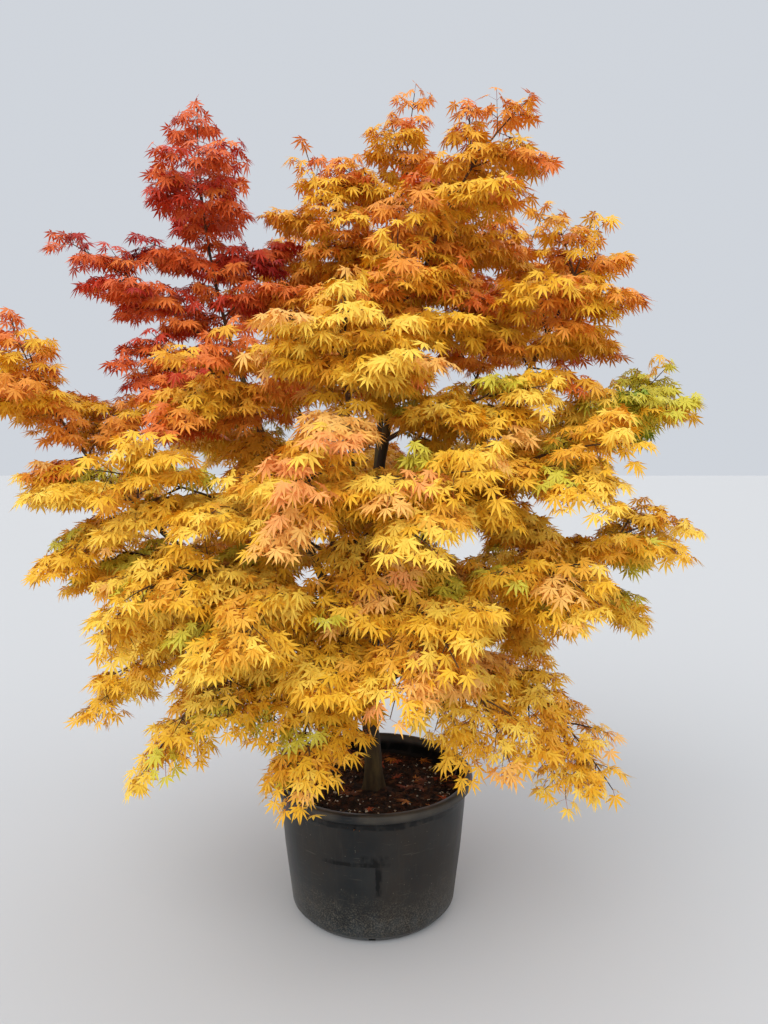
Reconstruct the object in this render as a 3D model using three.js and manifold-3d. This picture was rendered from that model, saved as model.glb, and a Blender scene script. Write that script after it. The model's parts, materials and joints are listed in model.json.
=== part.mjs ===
// Japanese maple in autumn leaf, grown as several stems from one short trunk in a round nursery pot.
// Millimetres, +Z up, with the front of the crown towards -Y and the origin at the middle of the pot's
// underside.
import * as THREE from 'three';
import { mergeVertices } from 'three/addons/utils/BufferGeometryUtils.js';
import Module from 'manifold-3d';

const wasm = await Module();
wasm.setup();

// Pot: a thin moulded tub with a rolled lip and small drain notches round its foot.
const POT_RIM_RADIUS = 320;
const POT_HEIGHT = 427;
const POT_NECK_RADIUS = 301;
const POT_WAIST_RADIUS = 284;
const POT_WAIST_HEIGHT = 200;
const POT_FOOT_RADIUS = 260;
const POT_BASE_RADIUS = 233;
const FOOT_ROUND_OUT = 0.75;
const FOOT_ROUND_UP = 0.35;
const POT_WALL = 5;
const POT_FLOOR = 6;
const LIP_HEIGHT = 27;
const LIP_ROUND = 5;
const POT_SEGMENTS = 32;
const DRAIN_COUNT = 6;
const DRAIN_WIDTH = 22;
const DRAIN_LENGTH = 88;
const DRAIN_HEIGHT = 12;

// Potting mix: fills the tub up to a little below the rim.
const MIX_LEVEL = 370;
const MIX_SHOULDER_DROP = 8;
const MIX_CROWN_RADIUS = 200;

// Clear distance kept between pieces that meet, and the distance under which two corners are one.
const GAP = 0.3;
const MERGE_DISTANCE = 1e-4;

// Trunk: from the flat cut at the mix's surface to the fork.
const TRUNK_RADIUS = 27;
const TRUNK_TOP_RADIUS = 25;
const TRUNK_FORK_HEIGHT = 800;
const TRUNK_LEAN_HEADING = 185;
const TRUNK_LEAN = 30;
const FLARE_RADIUS = 37;
const FLARE_HEIGHT = 42;
const FLARE_LOBES = 5;
const FLARE_LOBE_DEPTH = 0.16;
const FLARE_HEADING = -90;
const TRUNK_SIDES = 15;
const TRUNK_STEPS = 6;
const TRUNK_BEND = 0.4;

const LIMB_SIDES = 5;
const LIMB_STEPS = 5;

// Sprays: the twigs and leaves of one mass of foliage.
const STEM_SIDES = 4;
const STEM_STEPS = 3;
const TWIG_SIDES = 3;
const STEM_FOOT_SHARE = 0.62;
const STEM_END_FOOT_SHARE = 0.9;
const STEM_FOOT_MAX = 8;
const STEM_TIP_RADIUS = 4.5;
const STEM_END_SHARE = 0.78;
const STEM_LEAF_ASIDES = [58, -58];
const STEM_LEAF_PLACE = 0.93;
const TWIG_RADIUS = 2.4;
const TWIG_SHORT = 45;
const TWIG_SHORTEST = 0.8;
const TWIG_BARE = 30;
const PAIRS = 3;
const UPRIGHT_PAIRS = 4;
const UPRIGHT_TURN = 60;
const FIRST_PAIR = 0.3;
const TURN_SCATTER = 24;
const SPREAD_FIRST = 66;
const SPREAD_LAST = 44;
const SPREAD_SCATTER = 14;
const ASIDE_SCATTER = 24;
const TWIG_TEST_SHARE = 0.97;
const END_ASIDE = -12;
const TWIG_LEAVES = [{ place: 0.5, aside: 55 }, { place: 0.72, aside: -58 }];
const LEAF_LENGTH = 210;
const LEAF_WIDTH = 185;
const LEAF_STALK = 0.08;
const LEAF_SIZES = [1, 0.8, 0.6];
const LEAF_THICKNESS = 5;
const LEAF_WIDEST = 0.5;
const LEAF_BELLY = 0.28;
const LEAF_SINK = 1;
const LEAF_SHOW = 0.75;
const LEAF_DROOP = 48;
const FIRST_SEED = 101;

// How the last ring of a twig is joined to a leaf's middle corners, which are numbered from LEAF_KEY.
const LEAF_KEY = 10;
const THREE_SIDED_JOIN = [2, 0, 10, 0, 11, 10, 0, 1, 11, 1, 12, 11, 1, 13, 12, 1, 2, 13, 2, 10, 13];
const FOUR_SIDED_JOIN = [
  0, 1, 11, 0, 11, 10, 1, 2, 12, 1, 12, 11,
  2, 3, 13, 2, 13, 12, 3, 0, 10, 3, 10, 13,
];

// Rules that keep the masses apart. Each mass's space overruns its stem's tip a little, so that the last
// leaf fits. Limits are depths in a space, where 1 is its skin.
const MIN_BARE_SHARE = 0.08;
const SPACE_OVERRUN = 1.08;
const SPACE_MARGIN = 1.06;
const UPRIGHT_SINE = 0.25;
const OBSTACLE_STEPS = 24;
const POT_CLEARANCE = 12;
const LEAF_MARGIN = 20;
const TWIG_MARGIN = 12;
const LEAF_LIMIT = 1.3;
const TWIG_LIMIT = 1;
const TWIG_TEST_STEP = 15;
const LEAF_TEST_SHARES = [0.2, 0.4, 0.7, 1];
const LEAF_TEST_SIDES = [-1, -0.5, 0, 0.5, 1];

// Limbs. Each leaves its parent at a share of the parent's length and ends at a heading round the pot's
// axis, where 0 is +X and 90 is +Y, at a reach from that axis and at a height. Rise lifts the middle of the
// limb, hug draws it in towards the axis, and foot and tip are radii.
const LIMBS = [
  { name: 'stem_centre', from: 'trunk', at: 1, heading: 318, reach: 150, height: 1830,
    rise: 0, hug: 80, foot: 21, tip: 9 },
  { name: 'stem_left', from: 'trunk', at: 0.98, heading: 163, reach: 480, height: 1790,
    rise: 0, hug: -60, foot: 19, tip: 8 },
  { name: 'stem_right', from: 'stem_centre', at: 0.05, heading: 346, reach: 440, height: 1640,
    rise: 0, hug: 20, foot: 17, tip: 8 },
  { name: 'stem_back', from: 'trunk', at: 0.95, heading: 78, reach: 230, height: 1850,
    rise: 0, hug: 40, foot: 16, tip: 8 },
  { name: 'stem_front', from: 'trunk', at: 0.93, heading: 262, reach: 400, height: 1520,
    rise: 60, hug: 0, foot: 15, tip: 7 },
  { name: 'stem_far_left', from: 'trunk', at: 0.74, heading: 181, reach: 830, height: 1370,
    rise: -70, hug: 0, foot: 17, tip: 7 },
  { name: 'stem_back_right', from: 'trunk', at: 0.9, heading: 48, reach: 480, height: 1600,
    rise: 20, hug: 0, foot: 15, tip: 7 },
  { name: 'stem_back_left', from: 'trunk', at: 0.86, heading: 124, reach: 490, height: 1600,
    rise: 20, hug: 0, foot: 15, tip: 7 },
  { name: 'bough_low_left', from: 'trunk', at: 0.34, heading: 199, reach: 430, height: 800,
    rise: 60, hug: 0, foot: 10, tip: 6 },
  { name: 'bough_front_left', from: 'trunk', at: 0.66, heading: 231, reach: 500, height: 1060,
    rise: 50, hug: 0, foot: 13, tip: 6 },
  { name: 'bough_front', from: 'trunk', at: 0.56, heading: 246, reach: 380, height: 960,
    rise: 60, hug: 0, foot: 11, tip: 6 },
  { name: 'bough_front_right', from: 'trunk', at: 0.82, heading: 312, reach: 420, height: 1040,
    rise: 60, hug: 0, foot: 12, tip: 6 },
  { name: 'bough_right', from: 'trunk', at: 0.7, heading: 345, reach: 480, height: 1010,
    rise: 40, hug: 0, foot: 12, tip: 6 },
  { name: 'bough_far_right', from: 'stem_right', at: 0.5, heading: 7, reach: 600, height: 1430,
    rise: 40, hug: 0, foot: 9, tip: 5 },
  { name: 'bough_back_right', from: 'trunk', at: 0.62, heading: 35, reach: 460, height: 980,
    rise: 50, hug: 0, foot: 12, tip: 6 },
  { name: 'bough_back_left', from: 'trunk', at: 0.58, heading: 140, reach: 460, height: 960,
    rise: 50, hug: 0, foot: 12, tip: 6 },
];

// Masses of foliage. Each has one stem that leaves a limb as a limb does and ends at the mass's furthest
// tip. Long, wide and deep are the size of the mass's own space, and turn is how far each pair of twigs is
// turned from the pair before it: small in a flat fan, large round an upright leader.
const MASSES = [
  { name: 'foliage_skirt_left', from: 'bough_low_left', at: 1, heading: 188, reach: 870, height: 670,
    rise: 110, long: 540, wide: 420, deep: 260, turn: 30, tint: 'gold' },
  { name: 'foliage_skirt_front_left', from: 'bough_front_left', at: 0.55, heading: 219, reach: 770,
    height: 610, rise: 230, long: 560, wide: 440, deep: 260, turn: 30, tint: 'gold' },
  { name: 'foliage_skirt_front', from: 'bough_front', at: 0.6, heading: 248, reach: 550, height: 570,
    rise: 190, long: 460, wide: 320, deep: 300, turn: 30, tint: 'gold' },
  { name: 'foliage_skirt_front_right', from: 'bough_front_right', at: 0.5, heading: 309, reach: 590,
    height: 630, rise: 210, long: 520, wide: 440, deep: 280, turn: 30, tint: 'gold' },
  { name: 'foliage_skirt_right', from: 'bough_right', at: 0.55, heading: 336, reach: 750, height: 500,
    rise: 160, long: 560, wide: 440, deep: 300, turn: 30, tint: 'gold' },
  { name: 'foliage_skirt_back_right', from: 'bough_back_right', at: 0.6, heading: 34, reach: 680,
    height: 750, rise: 220, long: 540, wide: 560, deep: 420, turn: 30, tint: 'gold' },
  { name: 'foliage_skirt_back', from: 'stem_back', at: 0.12, heading: 86, reach: 760, height: 560,
    rise: 260, long: 560, wide: 600, deep: 480, turn: 30, tint: 'amber' },
  { name: 'foliage_skirt_back_left', from: 'bough_back_left', at: 0.6, heading: 139, reach: 790,
    height: 590, rise: 220, long: 560, wide: 580, deep: 380, turn: 30, tint: 'gold' },
  { name: 'foliage_low_left', from: 'stem_far_left', at: 0.5, heading: 187, reach: 950, height: 1140,
    rise: 120, long: 560, wide: 600, deep: 520, turn: 40, tint: 'gold' },
  { name: 'foliage_low_front_left', from: 'bough_front_left', at: 1, heading: 223, reach: 880,
    height: 1030, rise: 120, long: 560, wide: 500, deep: 460, turn: 40, tint: 'gold' },
  { name: 'foliage_low_front', from: 'bough_front', at: 1, heading: 252, reach: 840, height: 1050,
    rise: 150, long: 560, wide: 520, deep: 440, turn: 40, tint: 'gold' },
  { name: 'foliage_low_front_right', from: 'stem_front', at: 0.3, heading: 284, reach: 810,
    height: 1000, rise: 200, long: 560, wide: 520, deep: 540, turn: 40, tint: 'peach' },
  { name: 'foliage_low_right_front', from: 'bough_front_right', at: 1, heading: 315, reach: 790,
    height: 1090, rise: 140, long: 560, wide: 480, deep: 560, turn: 40, tint: 'gold' },
  { name: 'foliage_low_right', from: 'bough_right', at: 1, heading: 353, reach: 930, height: 1250,
    rise: 120, long: 600, wide: 700, deep: 520, turn: 35, tint: 'gold' },
  { name: 'foliage_low_back_right', from: 'bough_back_right', at: 1, heading: 30, reach: 930,
    height: 1000, rise: 120, long: 560, wide: 660, deep: 640, turn: 40, tint: 'gold' },
  { name: 'foliage_low_back', from: 'stem_back_left', at: 0.2, heading: 78, reach: 900, height: 1000,
    rise: 150, long: 580, wide: 860, deep: 600, turn: 40, tint: 'amber' },
  { name: 'foliage_low_back_left', from: 'bough_back_left', at: 1, heading: 122, reach: 920,
    height: 1000, rise: 140, long: 560, wide: 640, deep: 480, turn: 40, tint: 'amber' },
  { name: 'foliage_low_left_back', from: 'stem_far_left', at: 0.4, heading: 155, reach: 950,
    height: 1060, rise: 130, long: 600, wide: 620, deep: 580, turn: 40, tint: 'gold' },
  { name: 'foliage_far_left', from: 'stem_far_left', at: 1, heading: 179, reach: 1120, height: 1860,
    rise: 40, long: 640, wide: 600, deep: 460, turn: 50, tint: 'orange' },
  { name: 'foliage_mid_left', from: 'stem_far_left', at: 0.82, heading: 183, reach: 1060, height: 1370,
    rise: 110, long: 560, wide: 620, deep: 560, turn: 45, tint: 'gold' },
  { name: 'foliage_mid_front_left', from: 'stem_front', at: 0.42, heading: 217, reach: 880,
    height: 1420, rise: 120, long: 620, wide: 560, deep: 600, turn: 50, tint: 'gold' },
  { name: 'foliage_mid_front', from: 'stem_front', at: 0.7, heading: 258, reach: 820, height: 1380,
    rise: 130, long: 560, wide: 560, deep: 520, turn: 50, tint: 'peach' },
  { name: 'foliage_mid_front_right', from: 'stem_front', at: 0.55, heading: 288, reach: 800,
    height: 1420, rise: 130, long: 600, wide: 560, deep: 700, turn: 50, tint: 'gold' },
  { name: 'foliage_mid_right_front', from: 'stem_right', at: 0.5, heading: 321, reach: 840,
    height: 1480, rise: 130, long: 600, wide: 540, deep: 620, turn: 50, tint: 'gold' },
  { name: 'foliage_far_right', from: 'bough_far_right', at: 1, heading: 5, reach: 940, height: 1720,
    rise: 70, long: 540, wide: 720, deep: 460, turn: 35, tint: 'lime' },
  { name: 'foliage_mid_back_right', from: 'stem_back_right', at: 0.6, heading: 42, reach: 930,
    height: 1540, rise: 110, long: 600, wide: 680, deep: 660, turn: 50, tint: 'gold' },
  { name: 'foliage_mid_back', from: 'stem_back_left', at: 0.5, heading: 88, reach: 900, height: 1520,
    rise: 130, long: 620, wide: 620, deep: 600, turn: 50, tint: 'amber' },
  { name: 'foliage_mid_back_left', from: 'stem_back_left', at: 0.7, heading: 138, reach: 940,
    height: 1560, rise: 110, long: 620, wide: 680, deep: 580, turn: 50, tint: 'gold' },
  { name: 'foliage_red_arm', from: 'stem_left', at: 0.92, heading: 174, reach: 1000, height: 2130,
    rise: 70, long: 620, wide: 400, deep: 280, turn: 40, tint: 'crimson' },
  { name: 'foliage_red_shoulder', from: 'stem_left', at: 0.76, heading: 176, reach: 780, height: 1770,
    rise: 90, long: 560, wide: 480, deep: 420, turn: 40, tint: 'red' },
  { name: 'foliage_high_front_left', from: 'stem_left', at: 0.7, heading: 219, reach: 610, height: 1720,
    rise: 60, long: 600, wide: 600, deep: 600, turn: 45, tint: 'orange' },
  { name: 'foliage_high_front', from: 'stem_front', at: 1, heading: 264, reach: 540, height: 1880,
    rise: 0, long: 620, wide: 640, deep: 600, turn: 60, tint: 'peach' },
  { name: 'foliage_high_front_right', from: 'stem_centre', at: 0.66, heading: 319, reach: 620,
    height: 1630, rise: 60, long: 600, wide: 600, deep: 580, turn: 45, tint: 'gold' },
  { name: 'foliage_right_shoulder', from: 'stem_right', at: 1, heading: 352, reach: 650, height: 2130,
    rise: 0, long: 740, wide: 640, deep: 580, turn: 60, tint: 'orange' },
  { name: 'foliage_high_back_right', from: 'stem_back_right', at: 1, heading: 40, reach: 820,
    height: 2340, rise: 0, long: 740, wide: 640, deep: 620, turn: 60, tint: 'orange' },
  { name: 'foliage_high_back_left', from: 'stem_back_left', at: 1, heading: 120, reach: 660,
    height: 2230, rise: 0, long: 700, wide: 600, deep: 620, turn: 60, tint: 'orange' },
  { name: 'foliage_spire_left', from: 'stem_left', at: 1, heading: 165, reach: 580, height: 2540,
    rise: 0, long: 780, wide: 660, deep: 500, turn: 60, tint: 'crimson' },
  { name: 'foliage_peak_left', from: 'stem_back', at: 0.72, heading: 135, reach: 320, height: 2450,
    rise: 60, long: 780, wide: 600, deep: 560, turn: 60, tint: 'orange' },
  { name: 'foliage_peak_centre', from: 'stem_back', at: 1, heading: 60, reach: 270, height: 2620,
    rise: 0, long: 760, wide: 560, deep: 520, turn: 60, tint: 'orange' },
  { name: 'foliage_peak_right', from: 'stem_centre', at: 1, heading: 336, reach: 470, height: 2420,
    rise: 60, long: 740, wide: 580, deep: 520, turn: 60, tint: 'orange' },
  { name: 'foliage_peak_front', from: 'stem_centre', at: 0.85, heading: 281, reach: 370, height: 2030,
    rise: 40, long: 600, wide: 600, deep: 520, turn: 60, tint: 'orange' },
];

const COLOURS = {
  pot: 0x1e2020,
  mix: 0x2b1a12,
  bark: 0x4a3f28,
  gold: 0xdca528,
  peach: 0xe69a4a,
  amber: 0xc98a20,
  orange: 0xd2692a,
  red: 0xbb3d22,
  crimson: 0x93201c,
  lime: 0xb9b22c,
};

const ROUGHNESS = { pot: 0.7, mix: 0.95, bark: 0.85, leaf: 0.7 };

const UP = new THREE.Vector3(0, 0, 1);
const radians = THREE.MathUtils.degToRad;
const lerp = THREE.MathUtils.lerp;

// A point at a heading and reach from the pot's axis, and a height above the pot's underside.
function polar(heading, reach, height) {
  const angle = radians(heading);
  return new THREE.Vector3(reach * Math.cos(angle), reach * Math.sin(angle), height);
}

// A seeded run of numbers from 0 to 1, the same every time.
function dice(seed) {
  let state = seed >>> 0;
  return () => {
    state = (Math.imul(state, 1664525) + 1013904223) >>> 0;
    return state / 4294967296;
  };
}

// A closed three.js geometry as a solid that can be joined and cut.
function solidOf(geometry) {
  const bare = geometry.clone();
  bare.deleteAttribute('normal');
  bare.deleteAttribute('uv');
  const merged = mergeVertices(bare, MERGE_DISTANCE);
  const vertProperties = new Float32Array(merged.attributes.position.array);
  const triVerts = new Uint32Array(merged.index.array);
  return new wasm.Manifold(new wasm.Mesh({ numProp: 3, vertProperties, triVerts }));
}

// The largest connected piece of a solid, as a three.js geometry, without the scraps that a cut leaves.
function geometryOf(solid) {
  const pieces = solid.decompose();
  const largest = pieces.reduce((best, piece) => (piece.volume() > best.volume() ? piece : best));
  const mesh = largest.getMesh();
  const geometry = new THREE.BufferGeometry();
  geometry.setAttribute('position', new THREE.BufferAttribute(mesh.vertProperties.slice(), 3));
  geometry.setIndex(new THREE.BufferAttribute(mesh.triVerts.slice(), 1));
  geometry.computeVertexNormals();
  return geometry;
}

// Rings of points round a curve as far as its end share, each turned so that its first corner stands at an
// angle from one direction.
function ringsAlong(curve, radiusAt, sides, steps, towards, firstAngle, end = 1) {
  const rings = [];
  for (let step = 0; step <= steps; step++) {
    const share = step / steps;
    const tangent = curve.getTangentAt(share * end);
    const first = towards.clone().addScaledVector(tangent, -towards.dot(tangent)).normalize();
    const second = tangent.clone().cross(first);
    const centre = curve.getPointAt(share * end);
    const ring = [];
    for (let side = 0; side < sides; side++) {
      const angle = firstAngle + (2 * Math.PI * side) / sides;
      const radius = radiusAt(share, angle);
      ring.push(centre.clone()
        .addScaledVector(first, radius * Math.cos(angle))
        .addScaledVector(second, radius * Math.sin(angle)));
    }
    rings.push(ring);
  }
  return rings;
}

// A closed geometry from points and triangles.
function closedGeometry(points, indices) {
  const geometry = new THREE.BufferGeometry();
  const numbers = points.flatMap((point) => point.toArray());
  geometry.setAttribute('position', new THREE.Float32BufferAttribute(numbers, 3));
  geometry.setIndex(indices);
  return geometry;
}

// The walls between rings of the same number of corners, and a flat end on the first ring.
function wallIndices(ringCount, sides) {
  const indices = [];
  for (let ring = 0; ring < ringCount - 1; ring++) {
    for (let side = 0; side < sides; side++) {
      const a = ring * sides + side;
      const b = ring * sides + ((side + 1) % sides);
      indices.push(a, b, b + sides, a, b + sides, a + sides);
    }
  }
  for (let side = 1; side < sides - 1; side++) {
    indices.push(0, side + 1, side);
  }
  return indices;
}

// A closed tube with flat ends round rings of the same number of corners.
function tube(rings) {
  const sides = rings[0].length;
  const indices = wallIndices(rings.length, sides);
  const last = (rings.length - 1) * sides;
  for (let side = 1; side < sides - 1; side++) {
    indices.push(last, last + side, last + side + 1);
  }
  return closedGeometry(rings.flat(), indices);
}

// A turned body from a closed profile of [radius, height] pairs that starts and ends on the axis.
function turned(profile) {
  const points = profile.map(([radius, height]) => new THREE.Vector2(radius, height));
  const geometry = new THREE.LatheGeometry(points, POT_SEGMENTS);
  geometry.rotateX(Math.PI / 2);
  return geometry;
}

// The pot's inner and outer wall radius at a height, between its foot and its lip.
function potWallRadius(height) {
  const waist = POT_WAIST_HEIGHT;
  if (height < waist) {
    return lerp(POT_FOOT_RADIUS, POT_WAIST_RADIUS, height / waist);
  }
  return lerp(POT_WAIST_RADIUS, POT_NECK_RADIUS, (height - waist) / (POT_HEIGHT - LIP_HEIGHT - waist));
}

function potBody() {
  const lipBottom = POT_HEIGHT - LIP_HEIGHT;
  const footHeight = POT_FOOT_RADIUS - POT_BASE_RADIUS;
  const inner = POT_NECK_RADIUS - POT_WALL;
  const profile = [
    [0, 0],
    [POT_BASE_RADIUS, 0],
    [lerp(POT_BASE_RADIUS, POT_FOOT_RADIUS, FOOT_ROUND_OUT), footHeight * FOOT_ROUND_UP],
    [potWallRadius(footHeight), footHeight],
    [POT_WAIST_RADIUS, POT_WAIST_HEIGHT],
    [POT_NECK_RADIUS, lipBottom],
    [POT_RIM_RADIUS - LIP_ROUND, lipBottom],
    [POT_RIM_RADIUS, lipBottom + LIP_ROUND],
    [POT_RIM_RADIUS, POT_HEIGHT - LIP_ROUND],
    [POT_RIM_RADIUS - LIP_ROUND, POT_HEIGHT],
    [inner, POT_HEIGHT],
    [inner, lipBottom],
    [POT_WAIST_RADIUS - POT_WALL, POT_WAIST_HEIGHT],
    [potWallRadius(footHeight) - POT_WALL, footHeight],
    [POT_BASE_RADIUS - POT_WALL, POT_FLOOR],
    [0, POT_FLOOR],
  ];
  let body = solidOf(turned(profile));
  for (let drain = 0; drain < DRAIN_COUNT; drain++) {
    const angle = -Math.PI / 2 + (2 * Math.PI * drain) / DRAIN_COUNT;
    const notch = new THREE.BoxGeometry(DRAIN_LENGTH, DRAIN_WIDTH, DRAIN_HEIGHT);
    notch.translate(POT_FOOT_RADIUS, 0, POT_FLOOR + DRAIN_HEIGHT / 2);
    notch.rotateZ(angle);
    body = body.subtract(solidOf(notch));
  }
  return geometryOf(body);
}

function pottingMix() {
  const foot = POT_FLOOR + GAP;
  const footHeight = POT_FOOT_RADIUS - POT_BASE_RADIUS;
  const shoulder = MIX_LEVEL - MIX_SHOULDER_DROP;
  const inset = POT_WALL + 2 * GAP;
  return turned([
    [0, foot],
    [POT_BASE_RADIUS - inset, foot],
    [potWallRadius(footHeight) - inset, footHeight],
    [POT_WAIST_RADIUS - inset, POT_WAIST_HEIGHT],
    [potWallRadius(shoulder) - inset, shoulder],
    [MIX_CROWN_RADIUS, MIX_LEVEL],
    [0, MIX_LEVEL],
  ]);
}

// Limbs by name: the curve each follows and its radius along it.
const limbs = new Map();

function addLimb(name, heading, curve, wallAt, sides, steps) {
  limbs.set(name, { name, curve, wallAt, sides, steps, side: polar(heading + 90, 1, 0) });
}

// The curve of a limb or of a mass's stem. One that goes on from its parent's end starts in line with it.
function branchCurve({ from, at, heading, reach, height, rise, hug = 0 }) {
  const parent = limbs.get(from);
  const start = parent.curve.getPointAt(at);
  const end = polar(heading, reach, height);
  const chord = end.clone().sub(start);
  const bend = start.clone().addScaledVector(chord, 0.5);
  if (at === 1 && from !== 'trunk') {
    bend.copy(start).addScaledVector(parent.curve.getTangentAt(1), chord.length() / 2);
  }
  bend.addScaledVector(UP, rise).addScaledVector(polar(heading, 1, 0), -hug);
  return new THREE.QuadraticBezierCurve3(start, bend, end);
}

function trunkRadius(share, angle) {
  const height = share * (TRUNK_FORK_HEIGHT - MIX_LEVEL);
  const flare = Math.exp(-height / FLARE_HEIGHT);
  const lobes = 1 + FLARE_LOBE_DEPTH * flare * Math.cos(FLARE_LOBES * angle);
  const straight = lerp(TRUNK_RADIUS, TRUNK_TOP_RADIUS, share);
  return (straight + (FLARE_RADIUS - TRUNK_RADIUS) * flare) * lobes;
}

// The trunk's rings crowd towards its foot, where the flare is.
function trunkCurve() {
  const foot = new THREE.Vector3(0, 0, MIX_LEVEL + GAP);
  const top = polar(TRUNK_LEAN_HEADING, TRUNK_LEAN, TRUNK_FORK_HEIGHT);
  const bend = new THREE.Vector3(0, 0, lerp(foot.z, top.z, TRUNK_BEND));
  return new THREE.QuadraticBezierCurve3(foot, bend, top);
}

// A limb's solid, swollen and lengthened by a clear distance when it cuts its neighbours.
function limbSolid({ curve, wallAt, sides, steps, side }, clear = 0) {
  const rings = ringsAlong(curve, (share, angle) => wallAt(share, angle) + clear, sides, steps, side, 0);
  if (clear > 0) {
    const tangent = curve.getTangentAt(1);
    rings.push(rings.at(-1).map((corner) => corner.clone().addScaledVector(tangent, clear)));
  }
  return solidOf(tube(rings));
}

const group = new THREE.Group();

function addPart(name, geometry, colour, roughness) {
  const material = new THREE.MeshStandardMaterial({ color: colour, roughness, metalness: 0 });
  const mesh = new THREE.Mesh(geometry, material);
  mesh.name = name;
  group.add(mesh);
}

addPart('pot', potBody(), COLOURS.pot, ROUGHNESS.pot);
addPart('potting_mix', pottingMix(), COLOURS.mix, ROUGHNESS.mix);

addLimb('trunk', FLARE_HEADING, trunkCurve(), trunkRadius, TRUNK_SIDES, TRUNK_STEPS);
for (const limb of LIMBS) {
  const wallAt = (share) => lerp(limb.foot, limb.tip, share);
  addLimb(limb.name, limb.heading, branchCurve(limb), wallAt, LIMB_SIDES, LIMB_STEPS);
}

// Every limb is cut clear of the limbs that are listed before it.
const swollen = [];
for (const limb of limbs.values()) {
  let solid = limbSolid(limb);
  for (const other of swollen) {
    solid = solid.subtract(other);
  }
  swollen.push(limbSolid(limb, GAP));
  addPart(limb.name, geometryOf(solid), COLOURS.bark, ROUGHNESS.bark);
}

// A mass's own space: an ellipsoid round the leafy end of its stem, with the mass's furthest tip at its end.
function spaceOf(mass, curve) {
  const leafyFrom = Math.max(MIN_BARE_SHARE, 1 - mass.long / curve.getLength());
  const start = curve.getPointAt(leafyFrom);
  const tip = curve.getPointAt(1);
  const along = tip.clone().sub(start);
  const half = along.length() / 2;
  along.normalize();
  const across = acrossOf(along, polar(mass.heading + 90, 1, 0));
  const over = across.clone().cross(along);
  return {
    leafyFrom,
    centre: start.clone().lerp(tip, 0.5),
    axes: [along, across, over],
    halves: [half * SPACE_OVERRUN, mass.wide / 2, mass.deep / 2],
  };
}

// The level direction across a twig, or the one given instead where the twig stands nearly upright.
function acrossOf(direction, instead) {
  const across = direction.clone().cross(UP);
  if (across.length() < UPRIGHT_SINE) {
    across.copy(instead).addScaledVector(direction, -instead.dot(direction));
  }
  return across.normalize();
}

// How deep a point lies in a space: 0 at its centre, 1 at its skin.
function depthIn(space, point) {
  const offset = point.clone().sub(space.centre);
  let sum = 0;
  for (let axis = 0; axis < 3; axis++) {
    sum += (offset.dot(space.axes[axis]) / space.halves[axis]) ** 2;
  }
  return Math.sqrt(sum);
}

// The distance from a point inside a space to its skin in one direction.
function distanceToSkin(space, point, direction) {
  const offset = point.clone().sub(space.centre);
  let a = 0;
  let b = 0;
  let c = -1;
  for (let axis = 0; axis < 3; axis++) {
    const step = direction.dot(space.axes[axis]) / space.halves[axis];
    const from = offset.dot(space.axes[axis]) / space.halves[axis];
    a += step * step;
    b += 2 * step * from;
    c += from * from;
  }
  const root = b * b - 4 * a * c;
  return root > 0 ? (Math.sqrt(root) - b) / (2 * a) : 0;
}

// Points along every limb and stem, with their radii, that twigs and leaves keep clear of.
function obstaclePoints(curve, radiusAt) {
  const points = [];
  for (let step = 0; step <= OBSTACLE_STEPS; step++) {
    const share = step / OBSTACLE_STEPS;
    points.push({ centre: curve.getPointAt(share), radius: radiusAt(share) });
  }
  return points;
}

function insidePot(point) {
  const reach = Math.hypot(point.x, point.y);
  return point.z < POT_HEIGHT + POT_CLEARANCE && reach < POT_RIM_RADIUS + POT_CLEARANCE;
}

// Whether a mass may use a point: inside a limit of its space, deeper in it than in any other space, and
// clear of every limb.
function isFree(mass, point, margin, limit) {
  const depth = depthIn(mass.space, point);
  if (depth > limit || insidePot(point)) {
    return false;
  }
  for (const other of masses) {
    if (other !== mass && depthIn(other.space, point) < depth * SPACE_MARGIN) {
      return false;
    }
  }
  for (const [name, points] of obstacles) {
    if (name === mass.name) {
      continue;
    }
    for (const { centre, radius } of points) {
      if (centre.distanceTo(point) < radius + margin) {
        return false;
      }
    }
  }
  return true;
}

// A leaf's four middle corners, in order round it, and its tip: over, one side, under, the other side.
function leafCorners(leaf) {
  const widest = leaf.base.clone().addScaledVector(leaf.along, leaf.length * LEAF_WIDEST);
  const belly = leaf.base.clone().addScaledVector(leaf.along, leaf.length * LEAF_BELLY);
  return [
    belly.clone().addScaledVector(leaf.over, LEAF_THICKNESS / 2),
    widest.clone().addScaledVector(leaf.across, leaf.width / 2),
    belly.clone().addScaledVector(leaf.over, -LEAF_THICKNESS / 2),
    widest.clone().addScaledVector(leaf.across, -leaf.width / 2),
    leaf.base.clone().addScaledVector(leaf.along, leaf.length),
  ];
}

// The faces from a leaf's middle corners to its tip, where the corners are numbered from first.
function leafTipIndices(first) {
  return [0, 1, 2, 3].flatMap((side) => [first + side, first + ((side + 1) % 4), first + 4]);
}

// A leaf that hangs beside a twig: eight faces round a pointed root, four middle corners and a tip.
function sideLeafGeometry(leaf) {
  const root = leaf.base.clone().addScaledVector(leaf.along, -LEAF_SINK);
  const rootIndices = [0, 1, 2, 3].flatMap((side) => [0, 1 + ((side + 1) % 4), 1 + side]);
  return closedGeometry([root, ...leafCorners(leaf)], [...rootIndices, ...leafTipIndices(1)]);
}

// A twig or stem whose last ring runs on into a leaf's middle corners. The ring has three or four corners.
function endLeafGeometry(rings, leaf) {
  const sides = rings[0].length;
  const ring = (rings.length - 1) * sides;
  const corner = ring + sides;
  const joins = sides === 4 ? FOUR_SIDED_JOIN : THREE_SIDED_JOIN;
  const number = (key) => (key < LEAF_KEY ? ring + key : corner + key - LEAF_KEY);
  const indices = [...wallIndices(rings.length, sides), ...joins.map(number), ...leafTipIndices(corner)];
  return closedGeometry([...rings.flat(), ...leafCorners(leaf)], indices);
}

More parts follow.
